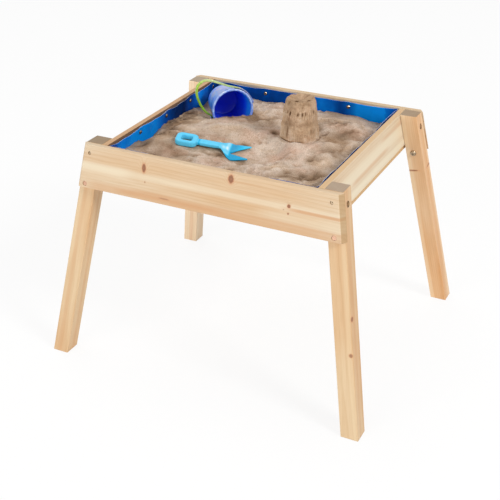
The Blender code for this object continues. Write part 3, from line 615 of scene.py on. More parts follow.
def trayHalfX(z):
    return topHalfX + tan(splayX) * (tableTop - z) - legSide - boardThickness - 2 * joinGap


def trayHalfY(z):
    return topHalfY + tan(splayY) * (tableTop - z)


def sandHalfX(z):
    return trayHalfX(z) - linerWall


def sandHalfY(z):
    return trayHalfY(z) - linerWall


def headMiddle(along):
    # Height of the middle line of the fork's head above its shaft's middle, from the head's start: it drops
    # by the plate's slope as far as the fold, then by the tines' slope
    f = forkSize
    fold = f["headLength"] * f["fold"]
    plate = np.minimum(along, fold) * tan(radians(f["plateDrop"]))
    tine = np.maximum(along - fold, 0) * tan(radians(f["tineDrop"]))
    return f["shaftThickness"] / 2 - plate - tine


def forkPlace(x, y):
    # The same place measured along the fork from its grip's middle, and sideways of it
    h = radians(forkSize["heading"])
    dx, dy = x - forkSize["middle"][0], y - forkSize["middle"][1]
    return dx * cos(h) + dy * sin(h), dy * cos(h) - dx * sin(h)


def forkBed(x, y):
    # Height of the sand pressed under the fork, and how far the point lies outside the fork's edge
    f = forkSize
    along, sideways = forkPlace(x, y)
    end = headStart + f["headLength"]
    run = np.clip(along, -f["gripLength"] / 2, end)
    half = np.where(run > headStart, f["headHalfWidth"], f["gripWidth"] / 2)
    away = np.hypot(along - run, sideways) - half
    reach = np.minimum(along, end + f["headHalfWidth"] / 2)
    plateSlant = f["headThickness"] / cos(radians(f["plateDrop"]))
    underHead = headMiddle(np.maximum(reach - headStart, 0)) - plateSlant - f["droop"]
    pitched = reach * tan(radians(f["pitch"]))
    rolled = np.clip(sideways, -f["headHalfWidth"], f["headHalfWidth"]) * tan(radians(f["roll"]))
    under = np.minimum(-f["gripThickness"] / 2, underHead) + pitched + rolled
    return f["middle"][2] + under - f["bedGap"], away


def castleRing(x, y):
    # How far outside the castle's foot a place is, and the cosine of its bearing from the castle's face
    s = sandSize
    dx, dy = x - s["castle"][0], y - s["castle"][1]
    return np.hypot(dx, dy) - s["castleRadius"], np.cos(np.arctan2(dy, dx) - radians(s["castleFace"]))


def sandHeight(x, y):
    # Level plus two ripples (sines) plus round heaps and hollows (bell curves), minus the castle's moat and
    # the hollow under the handle's eye
    s = sandSize
    halfX, halfY = sandHalfX(s["level"]), sandHalfY(s["level"])
    height = s["level"] + s["ripple"] * np.sin(2 * pi * (x + y / 3) / s["rippleLength"])
    height = height + s["ripple"] * np.sin(2 * pi * (y - x / 2) / s["rippleLength"] + 1)
    for shareX, shareY, radius, rise in s["lumps"]:
        away = np.hypot(x - shareX * halfX, y - shareY * halfY)
        height = height + rise * s["depth"] * bell(away, radius * halfX)
    ring, facing = castleRing(x, y)
    moat = s["moatDepth"] * (1 - 0.85 * smoothStep((facing + 0.45) / 0.5))
    height = height - moat * bell(ring, s["moatWidth"])
    eye = pivot - across * handleSize["halfWidth"]
    radius, depth = s["eyeHollow"]
    return height - depth * bell(np.hypot(x - eye.x, y - eye.y), radius)


sandMarks = [  # x, y, radius and rise in mm: pits, heels of hands and heaps
    (10, 58, 9, -5.5), (107, 74, 8, -5.5), (-58, 119, 20, -2.5), (-30, 95, 18, -3.5), (172, -107, 10, -4.5),
    (155, -121, 12, -3.5), (138, -51, 11, -4.0), (124, -136, 8, -3.5), (76, -69, 3, -2.0),
    (-5, 13, 4, -2.4), (11, 21, 4, -2.4), (-200, -25, 13, -4.5), (-205, 48, 15, -4.5), (-208, 92, 13, -3.5),
    (-72, -8, 6, -2.0), (-22, -11, 5, -3.0), (-78, 73, 7, -2.0), (-60, -102, 6, -3.0), (-44, -96, 9, -4.0),
    (-195, -130, 11, -3.5), (-117, -146, 11, -2.5), (-140, -125, 8, -2.5), (150, 100, 16, -3.0),
    (20, -150, 9, -2.5), (60, -165, 9, -2.0), (140, 29, 12, 3.5), (166, -24, 14, 3.5), (-81, 182, 24, 3.0),
    (-104, 32, 40, 2.0), (-79, -120, 11, 3.0), (-144, 47, 15, 2.0), (92, -4, 22, 7.0), (62, -6, 20, 7.5),
    (34, 14, 15, 7.5), (112, 18, 14, 4.0), (-68, 112, 16, -6.0), (-80, 129, 14, -7.0), (-180, -60, 14, 1.5),
    (-210, -62, 18, -5.0), (-165, -150, 12, 3.0), (182, 150, 16, 2.5), (40, 160, 18, 2.0),
    (172, 60, 12, 2.0), (-20, -170, 12, 2.5)]
sandRidges = [  # width and rise in mm, then the places that the crest passes through
    (8, 5.5, [(76, 160), (100, 170), (122, 172), (144, 150), (164, 126)]),
    (7, 3.2, [(62, -130), (97, -110), (117, -75), (112, -33), (118, 4)]),
    (5, 2.4, [(150, 26), (168, -4), (172, -40), (160, -70)]),
    (4, 2.0, [(-30, 30), (-10, 40), (12, 36), (20, 10)]),
    (4, 2.2, [(-120, -118), (-96, -126), (-70, -118), (-52, -128)]),
    (5, 2.6, [(96, -140), (124, -116), (142, -84)]),
    (6, 2.0, [(-150, 20), (-160, 60), (-150, 96)])]
smoothPatches = {  # x, y and the reach along x and y in mm, where hands have stroked the sand
    "apron": (-95, 30, 52, 40), "front": (60, -45, 50, 34), "slope": (145, 72, 48, 62)}
reliefSize = {  # heights and the cells of their noise, then the random dents with radius and rise in mm
    "bend": 5, "bendCell": 24 * mm, "patchCell": 70 * mm, "lump": 1.6 * mm, "lumpCell": 46 * mm,
    "clump": 1.9 * mm, "clumpCell": 17 * mm, "crest": 2.6 * mm, "crestCell": 26 * mm, "crestFrom": 0.70,
    "crumb": 0.80 * mm, "crumbCell": 7 * mm, "dents": 130, "dentReach": (0.215, 0.21),
    "dentRadius": (2.0, 5.5), "dentRise": (-2.2, 1.2)}
dampAndShadedSpots = [  # x, y and radius in mm, darkness: damp patches, and painted shadows in hollows and beside the toys; below 0 the sand is painted paler
    (156, 74, 40, 0.42), (-208, 20, 30, 0.45), (-196, -62, 26, 0.42), (-200, -140, 24, 0.35),
    (-34, 98, 30, 0.22), (158, -118, 26, 0.28), (-55, -98, 20, 0.20), (106, 160, 40, 0.24),
    (176, 0, 22, 0.20), (-208, 92, 28, 0.40), (10, 52, 11, 0.55), (106, 72, 9, 0.50), (-120, 96, 24, 0.35),
    (-120, -140, 26, 0.15), (138, -51, 14, 0.20), (-185, -41, 18, 0.48), (-172, -130, 20, 0.34),
    (-192, -92, 18, 0.28), (-160, -170, 20, 0.32), (-77, -131, 12, 0.28), (166, -14, 20, 0.40),
    (153, -64, 16, 0.14), (133, -156, 18, 0.40), (-28, -15, 12, 0.46), (-55, 20, 14, 0.14),
    (39, 118, 14, 0.34), (-49, 181, 16, 0.28), (20, 159, 14, 0.30), (-40, -95, 9, 0.35),
    (-23, 86, 16, -0.40), (-12, 42, 12, -0.34), (8, 101, 14, -0.36), (22, 56, 12, -0.40),
    (1, -1, 12, -0.34), (106, 102, 18, -0.22), (140, 112, 16, -0.12), (194, 91, 16, -0.25),
    (180, 176, 16, -0.20), (183, -171, 16, 0.26), (196, -85, 14, -0.16), (194, 44, 14, -0.15),
    (-177, 13, 14, 0.26), (81, -55, 12, -0.30), (-126, -109, 12, -0.28), (100, -171, 14, 0.28),
    (17, -171, 14, 0.26), (-15, -142, 12, 0.26), (114, 204, 14, -0.25), (-212, -110, 20, 0.25),
    (-172, -78, 20, 0.34), (209, 51, 12, -0.3)]


def nearLine(x, y, route):
    # Distance in mm to the nearest point of a broken line
    nearest = np.full(np.shape(x), 1e9)
    for (ax, ay), (bx, by) in zip(route, route[1:]):
        alongX, alongY = bx - ax, by - ay
        share = ((x - ax) * alongX + (y - ay) * alongY) / (alongX ** 2 + alongY ** 2)
        share = np.clip(share, 0, 1)
        nearest = np.minimum(nearest, np.hypot(x - ax - share * alongX, y - ay - share * alongY))
    return nearest


def sandRelief(x, y):
    # Marks of hands by bell curves, crests by a falling exponential of the distance, then noise for lumps of
    # centimetres and crumbs of millimetres
    s = reliefSize
    wideX, wideY = x / mm, y / mm
    bendX = wideX + s["bend"] * softNoise(x, y, s["bendCell"], 61)
    bendY = wideY + s["bend"] * softNoise(x, y, s["bendCell"], 62)
    relief = 0 * x
    for atX, atY, radius, rise in sandMarks:
        relief = relief + rise * mm * bell(np.hypot(bendX - atX, bendY - atY), radius)
    for width, rise, route in sandRidges:
        relief = relief + rise * mm * np.exp(-np.abs(nearLine(bendX, bendY, route)) / width)
    apron, front, slope = (
        bell(wideX - atX, reachX) * bell(wideY - atY, reachY)
        for atX, atY, reachX, reachY in smoothPatches.values())
    rough = smoothStep(0.62 + layeredNoise(x, y, s["patchCell"], 2, 31))
    rough = rough * (1 - 0.85 * apron) * (1 - 0.6 * front) * (1 - 0.85 * slope)
    relief = relief + s["lump"] * (1 - 0.8 * slope) * layeredNoise(x, y, s["lumpCell"], 2, 5)
    relief = relief + s["clump"] * rough * layeredNoise(x, y, s["clumpCell"], 2, 9)
    crest = np.maximum(1 - np.abs(layeredNoise(x, y, s["crestCell"], 2, 51)) - s["crestFrom"], 0)
    relief = relief + s["crest"] * rough * crest / (1 - s["crestFrom"])
    relief = relief + (0.42 + 0.58 * rough) * s["crumb"] * layeredNoise(x, y, s["crumbCell"], 3, 14, 0.6)
    rng = np.random.default_rng(8)
    reachX, reachY = s["dentReach"]
    for _ in range(s["dents"]):
        px, py = rng.uniform(-reachX, reachX), rng.uniform(-reachY, reachY)
        radius, rise = rng.uniform(*s["dentRadius"]) * mm, rng.uniform(*s["dentRise"]) * mm
        relief = relief + rise * bell(np.hypot(x - px, y - py), radius)
    return relief


def sandTone(x, y):
    # Painted light and shade: paler crests and darker hollows, darker where the sand is damp and in painted
    # shadows, a painted shadow line at the castle's foot and painted shade along the walls
    # painted shade in the hollows and painted light on the crests
    tone = 0.64 + 0.075 * np.clip(sandRelief(x, y) / mm, -4, 3.2)
    for atX, atY, radius, darkness in dampAndShadedSpots:
        tone = tone - darkness * bell(np.hypot(x / mm - atX, y / mm - atY), radius)
    # painted shadow along the castle's foot
    tone = tone - 0.35 * bell(castleRing(x, y)[0] - 1 * mm, 2 * mm)
    wall = np.minimum(sandHalfX(0.43) - np.abs(x), sandHalfY(0.43) - np.abs(y))
    # painted shade where the sand meets the walls, then random tone
    tone = tone - 0.16 * np.exp(-wall / (7 * mm)) + 0.08 * layeredNoise(x, y, 15 * mm, 3, 44)
    return np.clip(tone, 0, 1)


def bucketRadius(depth):
    # Radius of the bucket's outside, which narrows evenly from its mouth to its base
    b = bucketSize
    body = b["mouthRadius"] - b["lip"]
    return body + (b["baseRadius"] - body) * depth / b["depth"]


def bucketSpace(x, y):
    # Underside of the space that the bucket takes in the sand, and 1 m where it isn't above the point: its
    # axis minus the root of radius squared minus the distance sideways squared
    b = bucketSize
    flat = Vector((outward.x, outward.y, 0))
    back = ((mouth.x - x) * flat.x + (mouth.y - y) * flat.y) / flat.length_squared
    sideways = ((x - mouth.x) * flat.y - (y - mouth.y) * flat.x) / flat.length
    radius = np.where(back < b["lipHeight"], b["mouthRadius"], bucketRadius(back)) + 0.5 * mm
    inside = (back > -1.6 * mm) & (back < b["depth"] + 0.6 * mm) & (np.abs(sideways) < radius)
    low = mouth.z - back * outward.z - np.sqrt(np.maximum(radius ** 2 - sideways ** 2, 0))
    return np.where(inside, low, 1.0)


def sandSurface():
    # Heaps and relief blended into the beds of the fork and the bucket, then a skirt down the tray's walls
    s = sandSize
    u = np.linspace(-1, 1, s["cells"])
    u, v = np.meshgrid(u, u, indexing="ij")
    x, y = u * sandHalfX(s["level"]), v * sandHalfY(s["level"])
    bed, away = forkBed(x, y)
    fade = smoothStep((away - forkSize["bedStart"]) / forkSize["bedFade"])
    z = bed * (1 - fade) + sandHeight(x, y) * fade
    ring, facing = castleRing(x, y)
    calm = smoothStep(away / (10 * mm) + 0.15) * (0.75 + 0.25 * smoothStep(ring / (8 * mm)))
    z = z + sandRelief(x, y) * calm
    # the sand stands evenly against the castle's front, with a narrow dark groove along its foot
    banked = bell(np.maximum(ring, 0), s["bankReach"]) * smoothStep((facing + 0.25) / 0.4)
    z = z + (s["banked"] - z) * banked
    z = z - s["groove"] * bell(ring - 1.5 * mm, s["grooveWidth"]) * smoothStep((facing + 0.3) / 0.4)
    z = np.where(away < 3 * mm, np.minimum(z, bed), z)
    z = np.minimum(z, bucketSpace(x, y))
    top = np.stack([u * sandHalfX(z), v * sandHalfY(z), z], -1)
    rim = np.concatenate([top[:, 0], top[-1, 1:], top[-2::-1, -1], top[0, -2:0:-1]])
    low = rim.copy()
    low[:, 2] = s["low"]
    low[:, 0] *= sandHalfX(s["low"]) / sandHalfX(rim[:, 2])
    low[:, 1] *= sandHalfY(s["low"]) / sandHalfY(rim[:, 2])
    return [shell(top), shell(np.stack([rim, low]), wrapColumns=True, closeEnd=True)]


def sandMaterial(name, tones, speckled=0.55):
    # Quartz play sand: its tone comes with the points, pale and brown grains about a millimetre across lie
    # over it (drawn coarser than real, so that they show), dull all over
    material, tree, shader = newMaterial(name)
    place = objectPlace(tree)
    sand = colourRamp(tree, pointValue(tree, "tone"), list(zip((0.0, 0.32, 0.6, 0.9), tones)))
    grains = addNode(tree, "TexVoronoi", {"Vector": place, "Scale": 1 / (1.3 * mm)})
    grain = addNode(tree, "SeparateColor", {0: grains.outputs["Color"]}).outputs[0]
    speckle = colourRamp(tree, grain, [
        (0.0, "8E7A6A"), (0.10, "CDBFB2"), (0.5, "F0ECE8"), (0.86, "FFFFFF"), (1.0, "FFFFFF")])
    sand = mixColours(tree, speckled, sand, speckle, "MULTIPLY")
    hue = colourRamp(tree, noiseValue(tree, place, 13.0, 3.0), [
        (0.32, "FFF6EA"), (0.5, "FFFFFF"), (0.7, "FFEFE8")])
    crumbs = noiseValue(tree, place, 330.0, 4.0, 0.7)
    crumbs = plus(tree, crumbs, times(tree, grains.outputs["Distance"], 0.4))
    fill(tree, shader, {
        "Base Color": mixColours(tree, 1.0, sand, hue, "MULTIPLY"), "Roughness": 0.95,
        "Normal": bumped(tree, crumbs, 0.6, 1.0 * mm), "Specular IOR Level": 0.15})
    return material


# Castle: damp sand packed in a mould, so it keeps the mould's ribs, slots and battlements, worn and crumbly

castleSize = {
    "foot": (*sandSize["castle"], 0.4291), "face": sandSize["castleFace"], "radius": sandSize["castleRadius"],
    "height": 98 * mm, "lean": 1.8 * mm, "leanTo": (0.89, 0.45), "around": 320, "rows": 230,
    "profile": [  # shares of height and of radius
        (0.00, 0.958), (0.22, 0.960), (0.42, 0.965), (0.54, 0.980), (0.62, 0.994), (0.675, 0.990),
        (0.715, 0.955), (0.750, 0.890), (0.785, 0.820), (0.815, 0.755), (0.835, 0.700), (0.855, 0.580),
        (0.870, 0.510), (0.915, 0.460), (0.935, 0.400), (0.955, 0.280), (0.972, 0.170), (0.99, 0.080),
        (1.00, 0.000)],
    # bearing from the face, reach from the axis, radius and depth in mm, of the holes in its top
    "holes": [(-43, 13.3, 3.0, 8.0), (67, 16.3, 3.3, 8.0)],
    # bearing from the face in degrees, height share, half width, half height and depth in mm
    "pits": [
        (8, 0.895, 1.6, 1.6, 1.4), (-54, 0.765, 1.6, 4.0, 3.0), (-41, 0.750, 1.7, 4.2, 3.4),
        (-10, 0.745, 1.7, 4.2, 3.4), (5.5, 0.740, 1.8, 4.0, 3.4), (17, 0.755, 1.6, 4.2, 3.0),
        (50, 0.760, 1.7, 4.0, 3.2), (78, 0.755, 1.4, 4.0, 2.6), (-80, 0.755, 1.4, 4.0, 2.6),
        (110, 0.755, 1.5, 4.0, 2.6), (140, 0.755, 1.5, 4.0, 2.6), (170, 0.755, 1.5, 4.0, 2.6),
        (-112, 0.755, 1.5, 4.0, 2.6), (-145, 0.755, 1.5, 4.0, 2.6), (-44, 0.36, 2.4, 9.5, 2.0),
        (33, 0.37, 2.0, 7.0, 1.3), (-96, 0.37, 2.2, 9.0, 1.4), (104, 0.36, 2.2, 9.0, 1.4),
        (172, 0.36, 2.2, 9.0, 1.4), (60, 0.16, 3.0, 2.6, 2.2), (66, 0.33, 1.6, 8, 1.0)]}


def castleBearing(a):
    # Angle about the castle measured from its face, from minus to plus half a turn
    return (a - radians(castleSize["face"]) + pi) % (2 * pi) - pi


def castleNoise(a, share, cell, seed, fall=0.5):
    # Noise laid round the castle's wall, which is about 40 mm from its axis and 98 mm high
    return layeredNoise(a * 40 * mm, share * castleSize["height"], cell, 3, seed, fall)


def castleCarving(a, share):
    # How far the mould's slots, flutes and wear push the surface out or in, at a bearing and a height share:
    # cosines of the bearing for the ribs, bell curves for slots and pits, noise for the wear
    c = castleSize
    upper = smoothStep((share - 0.62) / 0.03) * smoothStep((0.80 - share) / 0.05)
    lower = smoothStep((0.46 - share) / 0.06) * smoothStep((share - 0.10) / 0.05)
    push = 0.45 * mm * np.cos(a * 40) * upper + 0.30 * mm * np.cos(a * 58) * lower
    push = push + 0.5 * mm * np.clip(np.cos(a * 8 + 0.7) * 3 - 1.4, 0, 1) * lower
    for degrees, height, halfWidth, halfHeight, depth in c["pits"]:
        aside = (castleBearing(a) - radians(degrees)) * 0.85 * c["radius"]
        above = np.abs((share - height) * c["height"] / (halfHeight * mm))
        push = push - depth * mm * bell(aside, halfWidth * mm) * np.exp(-above ** 3)
    push = push - 1.0 * mm * bell(share - 0.115, 0.016)
    push = push + 0.5 * mm * castleNoise(a, share, 15 * mm, 71)
    return push + 0.40 * mm * castleNoise(a, share, 5 * mm, 77, 0.55)


def castleHoles(x, y):
    # Depth of the holes in the top, at a place measured from its axis
    depth = 0 * x
    for degrees, reach, radius, deep in castleSize["holes"]:
        a = radians(castleSize["face"] + degrees)
        away = np.hypot(x / mm - reach * cos(a), y / mm - reach * sin(a))
        depth = depth + deep * mm * np.exp(-(away / radius) ** 4)
    return depth


def castleSurface():
    # Radius and height follow the profile. The carving then pushes the surface, and the top is lumpy, with
    # its holes.
    c = castleSize
    route = smoothCurve(c["profile"], 14)
    length = np.concatenate([[0], np.cumsum(np.hypot(*np.diff(route, axis=0).T))])
    t = np.linspace(0, length[-1], c["rows"])
    r = np.interp(t, length, route[:, 0])[:, None] * c["radius"]
    h = np.interp(t, length, route[:, 1])[:, None] * c["height"]
    a = np.linspace(0, 2 * pi, c["around"], endpoint=False)[None, :]
    share = h / c["height"]
    wrap = smoothStep((r - 8 * mm) / (10 * mm))
    spread = 1 + castleCarving(a, share) * wrap / np.maximum(r, 4 * mm)
    lumps = 1.2 * mm * layeredNoise(r * np.cos(a), r * np.sin(a), 9 * mm, 3, 83)
    lumps = lumps * smoothStep((share - 0.86) / 0.08)
    x, y = r * spread * np.cos(a), r * spread * np.sin(a)
    drop = castleHoles(x, y) * smoothStep((share - 0.86) / 0.06)
    z = c["foot"][2] + np.minimum(h + lumps, c["height"]) - drop
    lean = c["lean"] * share ** 2
    x, y = c["foot"][0] + x + lean * c["leanTo"][0], c["foot"][1] + y + lean * c["leanTo"][1]
    return [shell(np.stack([x, y, z], -1)[1:], wrapColumns=True, closeStart=True, closeEnd=True)]


def castleTone(points):
    # Painted light and shade: darker in the carved hollows and the holes (painted shade), darker on its very
    # top and in a band at half height, paler low down, painted light on its left and right sides, and a
    # painted contact shadow along the foot of its front. Bearings are in radians from its face.
    c = castleSize
    away = points - np.array(c["foot"])
    a, share = np.arctan2(away[:, 1], away[:, 0]), away[:, 2] / c["height"]
    bearing = castleBearing(a)
    leanX, leanY = c["lean"] * c["leanTo"][0], c["lean"] * c["leanTo"][1]
    # painted shade in the carved hollows, from how deep they are
    tone = 0.52 + 0.17 * np.clip(castleCarving(a, share) / mm, -2.4, 1.2)
    tone = tone + 0.16 * bell(share - 0.13, 0.14) - 0.10 * smoothStep((share - 0.90) / 0.06)
    # painted shade in the holes
    tone = tone - 0.40 * castleHoles(away[:, 0] - leanX, away[:, 1] - leanY) / mm * (share > 0.8)
    # painted light on its left and right sides
    tone = tone + 0.16 * bell(bearing + 1.15, 0.28) * bell(share - 0.36, 0.12)
    tone = tone - 0.10 * bell(share - 0.52, 0.07) + 0.12 * bell(bearing - 1.15, 0.35)
    tone = tone + 0.26 * bell(bearing + 1.45, 0.32) * smoothStep((0.80 - share) / 0.1)
    # a painted contact shadow along the foot of its front
    shaded = smoothStep((bearing + 1.75) / 0.2) * smoothStep((0.25 - bearing) / 0.4)
    tone = tone - 0.55 * shaded * smoothStep((0.197 - share) / 0.018)
    return np.clip(tone + 0.10 * castleNoise(a, share, 12 * mm, 95), 0, 1)


# Liner: one sheet of blue PVC, folded into the tray and held along its rim by dome screws, so it puckers
# between them

linerSize = {
    "low": 0.3993, "rim": 0.4664, "raised": 3.4 * mm, "sag": 2.6 * mm, "thickness": 0.8 * mm,
    "corner": 9 * mm, "screwHeight": 0.4535, "sagReach": 22 * mm, "screwReach": 13 * mm,
    "screwsX": (-0.193, -0.0925, 0.008, 0.1085), "screwsY": (0.2133, 0.1093, 0.0053, -0.0987),
    "alongSide": 110, "inCorner": 12, "spacing": 4.0 * mm, "wallRows": 26, "floorRows": 10,
    "pucker": 2.6 * mm, "cornerFold": 2.2 * mm, "flat": (0.600, 0.595)}


def roundTray():
    # Points round the tray: for each its share of the half sides, and the way its corner turns there
    s = linerSize
    parts = []
    for quarter, (sx, sy) in enumerate(quarters):
        angle = (quarter + np.linspace(0, 1, s["inCorner"], endpoint=False)) * pi / 2
        parts.append(np.stack([sx + 0 * angle, sy + 0 * angle, np.cos(angle), np.sin(angle)]))
        t = np.linspace(0, 1, s["alongSide"], endpoint=False)
        nextX, nextY = quarters[(quarter + 1) % 4]
        facingX, facingY = round(cos((quarter + 1) * pi / 2)), round(sin((quarter + 1) * pi / 2))
        parts.append(np.stack([
            sx + (nextX - sx) * t, sy + (nextY - sy) * t, facingX + 0 * t, facingY + 0 * t]))
    return np.concatenate(parts, axis=1)[:, None]


def linerSurface():
    # A rounded rectangle at each height, whose wall is pushed inwards by soft folds that die out at the
    # screws, then the floor in shrinking rounds
    s = linerSize
    mixX, mixY, turnX, turnY = roundTray()
    steps = np.arange(mixX.shape[1])[None, :]
    around = steps * s["spacing"]
    # the rim stands up to the boards' top on the right and near the front corners, and sags between the
    # screws on the left and at the back
    front = smoothStep((-mixY - 0.2 * turnY - 0.8) / 0.3) * smoothStep((np.abs(mixX) - 0.45) / 0.2)
    seenEdge = np.clip(smoothStep((mixX + 0.2 * turnX - 0.8) / 0.3) + front, 0, 1)
    topX, topY = mixX * trayHalfX(s["rim"]), mixY * trayHalfY(s["rim"])
    left, back = mixX < -0.98, mixY > 0.98
    held = 0 * topX
    for atX, atY in zip(s["screwsX"], s["screwsY"]):
        held = held + bell(topY - atY, s["sagReach"]) * left + bell(topX - atX, s["sagReach"]) * back
    sag = s["sag"] * (1 - np.clip(held, 0, 1)) * np.clip(left + back * 0.4, 0, 1)
    uneven = (1 - 0.6 * seenEdge) * 0.9 * mm * softNoise(around, around * 0, 30 * mm, 91)
    rim = s["rim"] + seenEdge * s["raised"] - 0.6 * mm - sag + uneven

    t = np.linspace(0, 1, s["wallRows"])[:, None]
    z = rim + (s["low"] - rim) * t
    baseX = mixX * (trayHalfX(z) - s["corner"]) + s["corner"] * turnX
    baseY = mixY * (trayHalfY(z) - s["corner"]) + s["corner"] * turnY
    keep = np.ones_like(baseX)
    above = z - s["screwHeight"]
    for side in (1, -1):
        for atX, atY in zip(s["screwsX"], s["screwsY"]):
            keep = keep - bell(np.hypot(baseX - side * atX, above), s["screwReach"]) * (side * baseY > 0.2)
            keep = keep - bell(np.hypot(baseY - side * atY, above), s["screwReach"]) * (side * baseX < -0.2)
    folds = 0.55 + 0.8 * softNoise(around, z * 0.5, 58 * mm, 23) + 0.35 * softNoise(around, z, 21 * mm, 29)
    creases = 0.9 * bell(softNoise(around + z * 0.4, z * 0.3, 44 * mm, 41), 0.07)
    push = s["pucker"] * np.clip(folds + creases * 0.5 + 0.35 * seenEdge, 0, 2) * np.clip(keep, 0.12, 1)
    # beside each corner stands a fold, which leans away from it on its way down
    period = s["inCorner"] + s["alongSide"]
    foldAt = (steps - s["inCorner"] / 2) % period
    foldAt = np.minimum(foldAt, period - foldAt)
    push = push + s["cornerFold"] * bell(foldAt - 7 - 2.5 * t, 1.3) * smoothStep(t * 6)
    wall = np.stack([baseX - turnX * push, baseY - turnY * push, z + 0 * baseX], -1)
    shrink = np.linspace(1, 0.02, s["floorRows"] + 1)[1:, None, None]
    floor = np.stack([baseX[-1], baseY[-1], 0 * baseX[-1]], -1)[None] * shrink
    floor[..., 2] = s["low"]
    return [shell(np.vstack([wall, floor]), wrapColumns=True, closeEnd=True)]


linerTones = [  # wall, place along it and reach in mm, change of tone
    ("left", -95, 46, 0.60), ("left", -20, 26, 0.16), ("left", 75, 60, -0.50), ("left", -175, 24, 0.25),
    ("left", 145, 34, 0.30), ("back", -60, 80, -0.12), ("back", 50, 24, 0.34), ("back", 89, 15, -0.26),
    ("back", 165, 46, 0.80), ("back", -200, 30, -0.2), ("right", 0, 400, -0.48), ("front", 0, 400, -0.3)]


def linerTone(points):
    # Bright and navy zones of the sheet, as the folds turn it to the light
    x, y = points[:, 0] / mm, points[:, 1] / mm
    walls = {"left": (y, x < -190), "back": (x, y > 190), "right": (y, x > 190), "front": (x, y < -190)}
    tone = 0.50 + 0.12 * layeredNoise(points[:, 0] + points[:, 1], points[:, 2] * 0.6, 34 * mm, 2, 57)
    for wall, at, reach, change in linerTones:
        along, on = walls[wall]
        tone = tone + change * on * bell(along - at, reach)
    return np.clip(tone, 0, 1)


def vinylMaterial():
    # PVC-coated cloth: deep blue, satin, with painted light and shade along its folds from the points' tone,
    # slow changes of tone and a faint weave
    material, tree, shader = newMaterial("pvcTarpaulin")
    place = objectPlace(tree)
    drift = times(tree, minus(tree, noiseValue(tree, place, 40.0, 3.0), 0.5), 0.4)
    weave = addNode(tree, "TexVoronoi", {"Vector": place, "Scale": 1 / (1.6 * mm), "Randomness": 0.25})
    fill(tree, shader, {
        "Base Color": colourRamp(tree, plus(tree, pointValue(tree, "tone"), drift), [
            (0.05, "00265E"), (0.35, "0048A2"), (0.6, "0068CE"), (0.9, "0894FA")]),
        "Roughness": mapped(tree, noiseValue(tree, place, 60.0, 4.0), 0.35, 0.7, 0.40, 0.56),
        "Normal": bumped(tree, weave.outputs["Distance"], 0.2, 0.2 * mm), "Specular IOR Level": 0.05})
    return material


def cutEdgeMaterial():
    # The cut edge of the sheet, where the pale cloth inside it shows
    material, tree, shader = newMaterial("cutVinylEdge")
    fill(tree, shader, {
        "Base Color": colourRamp(tree, noiseValue(tree, objectPlace(tree), 700.0, 2.0), [
            (0.35, "9FA8C4"), (0.6, "DDE0EA")]),
        "Roughness": 0.8})
    return material


# Bucket: injection-moulded polypropylene, deep blue inside, its outside bloomed with dry sand and painted
# paler where light falls on it

def bucketSurface():
    # One closed profile turned about the axis: floor and wall inside, lip, two raised rings and foot outside.
    # Then a pin with a head on each side. Heights are minus the depth from the mouth.
    b = bucketSize
    outer, base, wall, lip = bucketRadius, b["depth"], b["wall"], b["lipHeight"]
    profile = [(0.0, wall - base), (8 * mm, wall - base), (outer(base) - wall - 3 * mm, wall - base),
               (outer(base) - wall - 0.6 * mm, wall - base + 0.8 * mm),
               (outer(base - 4 * mm) - wall, 4 * mm - base)]
    profile += [(outer(d) - wall, -d) for d in np.linspace(base - 8 * mm, 7 * mm, 14)]
    profile += [(outer(4 * mm) - wall, -4 * mm), (outer(0) - wall + 0.2 * mm, -0.8 * mm),
                (outer(0) - wall + 0.8 * mm, 0.0), (outer(0), 0.0), (b["mouthRadius"] - 0.7 * mm, 0.0),
                (b["mouthRadius"], -0.8 * mm), (b["mouthRadius"], 0.6 * mm - lip),
                (b["mouthRadius"] - 0.5 * mm, -lip), (outer(lip) + 0.2 * mm, -lip)]
    for ring in (17 * mm, 20 * mm):
        profile += [(outer(ring - 1.2 * mm), 1.2 * mm - ring), (outer(ring) + 0.35 * mm, 0.6 * mm - ring),
                    (outer(ring) + 0.35 * mm, -ring - 0.1 * mm), (outer(ring + 0.8 * mm), -ring - 0.8 * mm)]
    profile += [(outer(d), -d) for d in np.linspace(26 * mm, base - 5 * mm, 12)]
    profile += [(outer(base - 1 * mm), 1 * mm - base), (outer(base) - 0.8 * mm, -base),
                (outer(base) - 4 * mm, -base), (outer(base) - 5 * mm, 0.9 * mm - base),
                (0.0, 0.9 * mm - base)]
    shells = [shell(toWorld(lathe(profile, b["steps"]), bucketFrame), wrapColumns=True)]
    reach, head, inWall = b["pinReach"], b["pinHead"], outer(b["pivotDrop"]) - wall / 2
    tip = reach + b["pinHeadHeight"]
    pin = [(0.0, tip), (head - 0.5 * mm, tip), (head, tip - 0.4 * mm), (head, reach),
           (b["pinRadius"], reach), (b["pinRadius"], inWall), (0.0, inWall)]
    for side in (-1, 1):
        axis = across * side
        level = axis.orthogonal().normalized()
        turned = frameOf(level, axis.cross(level), axis, pivot)
        shells.append(shell(toWorld(lathe(pin, 32), turned), wrapColumns=True))
    return shells


def outsideOfBucket(points):
    # 1 for the faces of the outer skin and 2 for the rim, told by their distance from the bucket's axis
    x, y, height = toWorld(points, bucketFrame.inverted()).T
    skin, away, wall = bucketRadius(-height), np.hypot(x, y), bucketSize["wall"]
    outside = (away > skin - wall / 2) & (height < -0.4 * mm)
    rim = (away > skin - wall - 0.2 * mm) & (height > -bucketSize["lipHeight"] - 0.4 * mm)
    return np.where(rim, 2, outside)


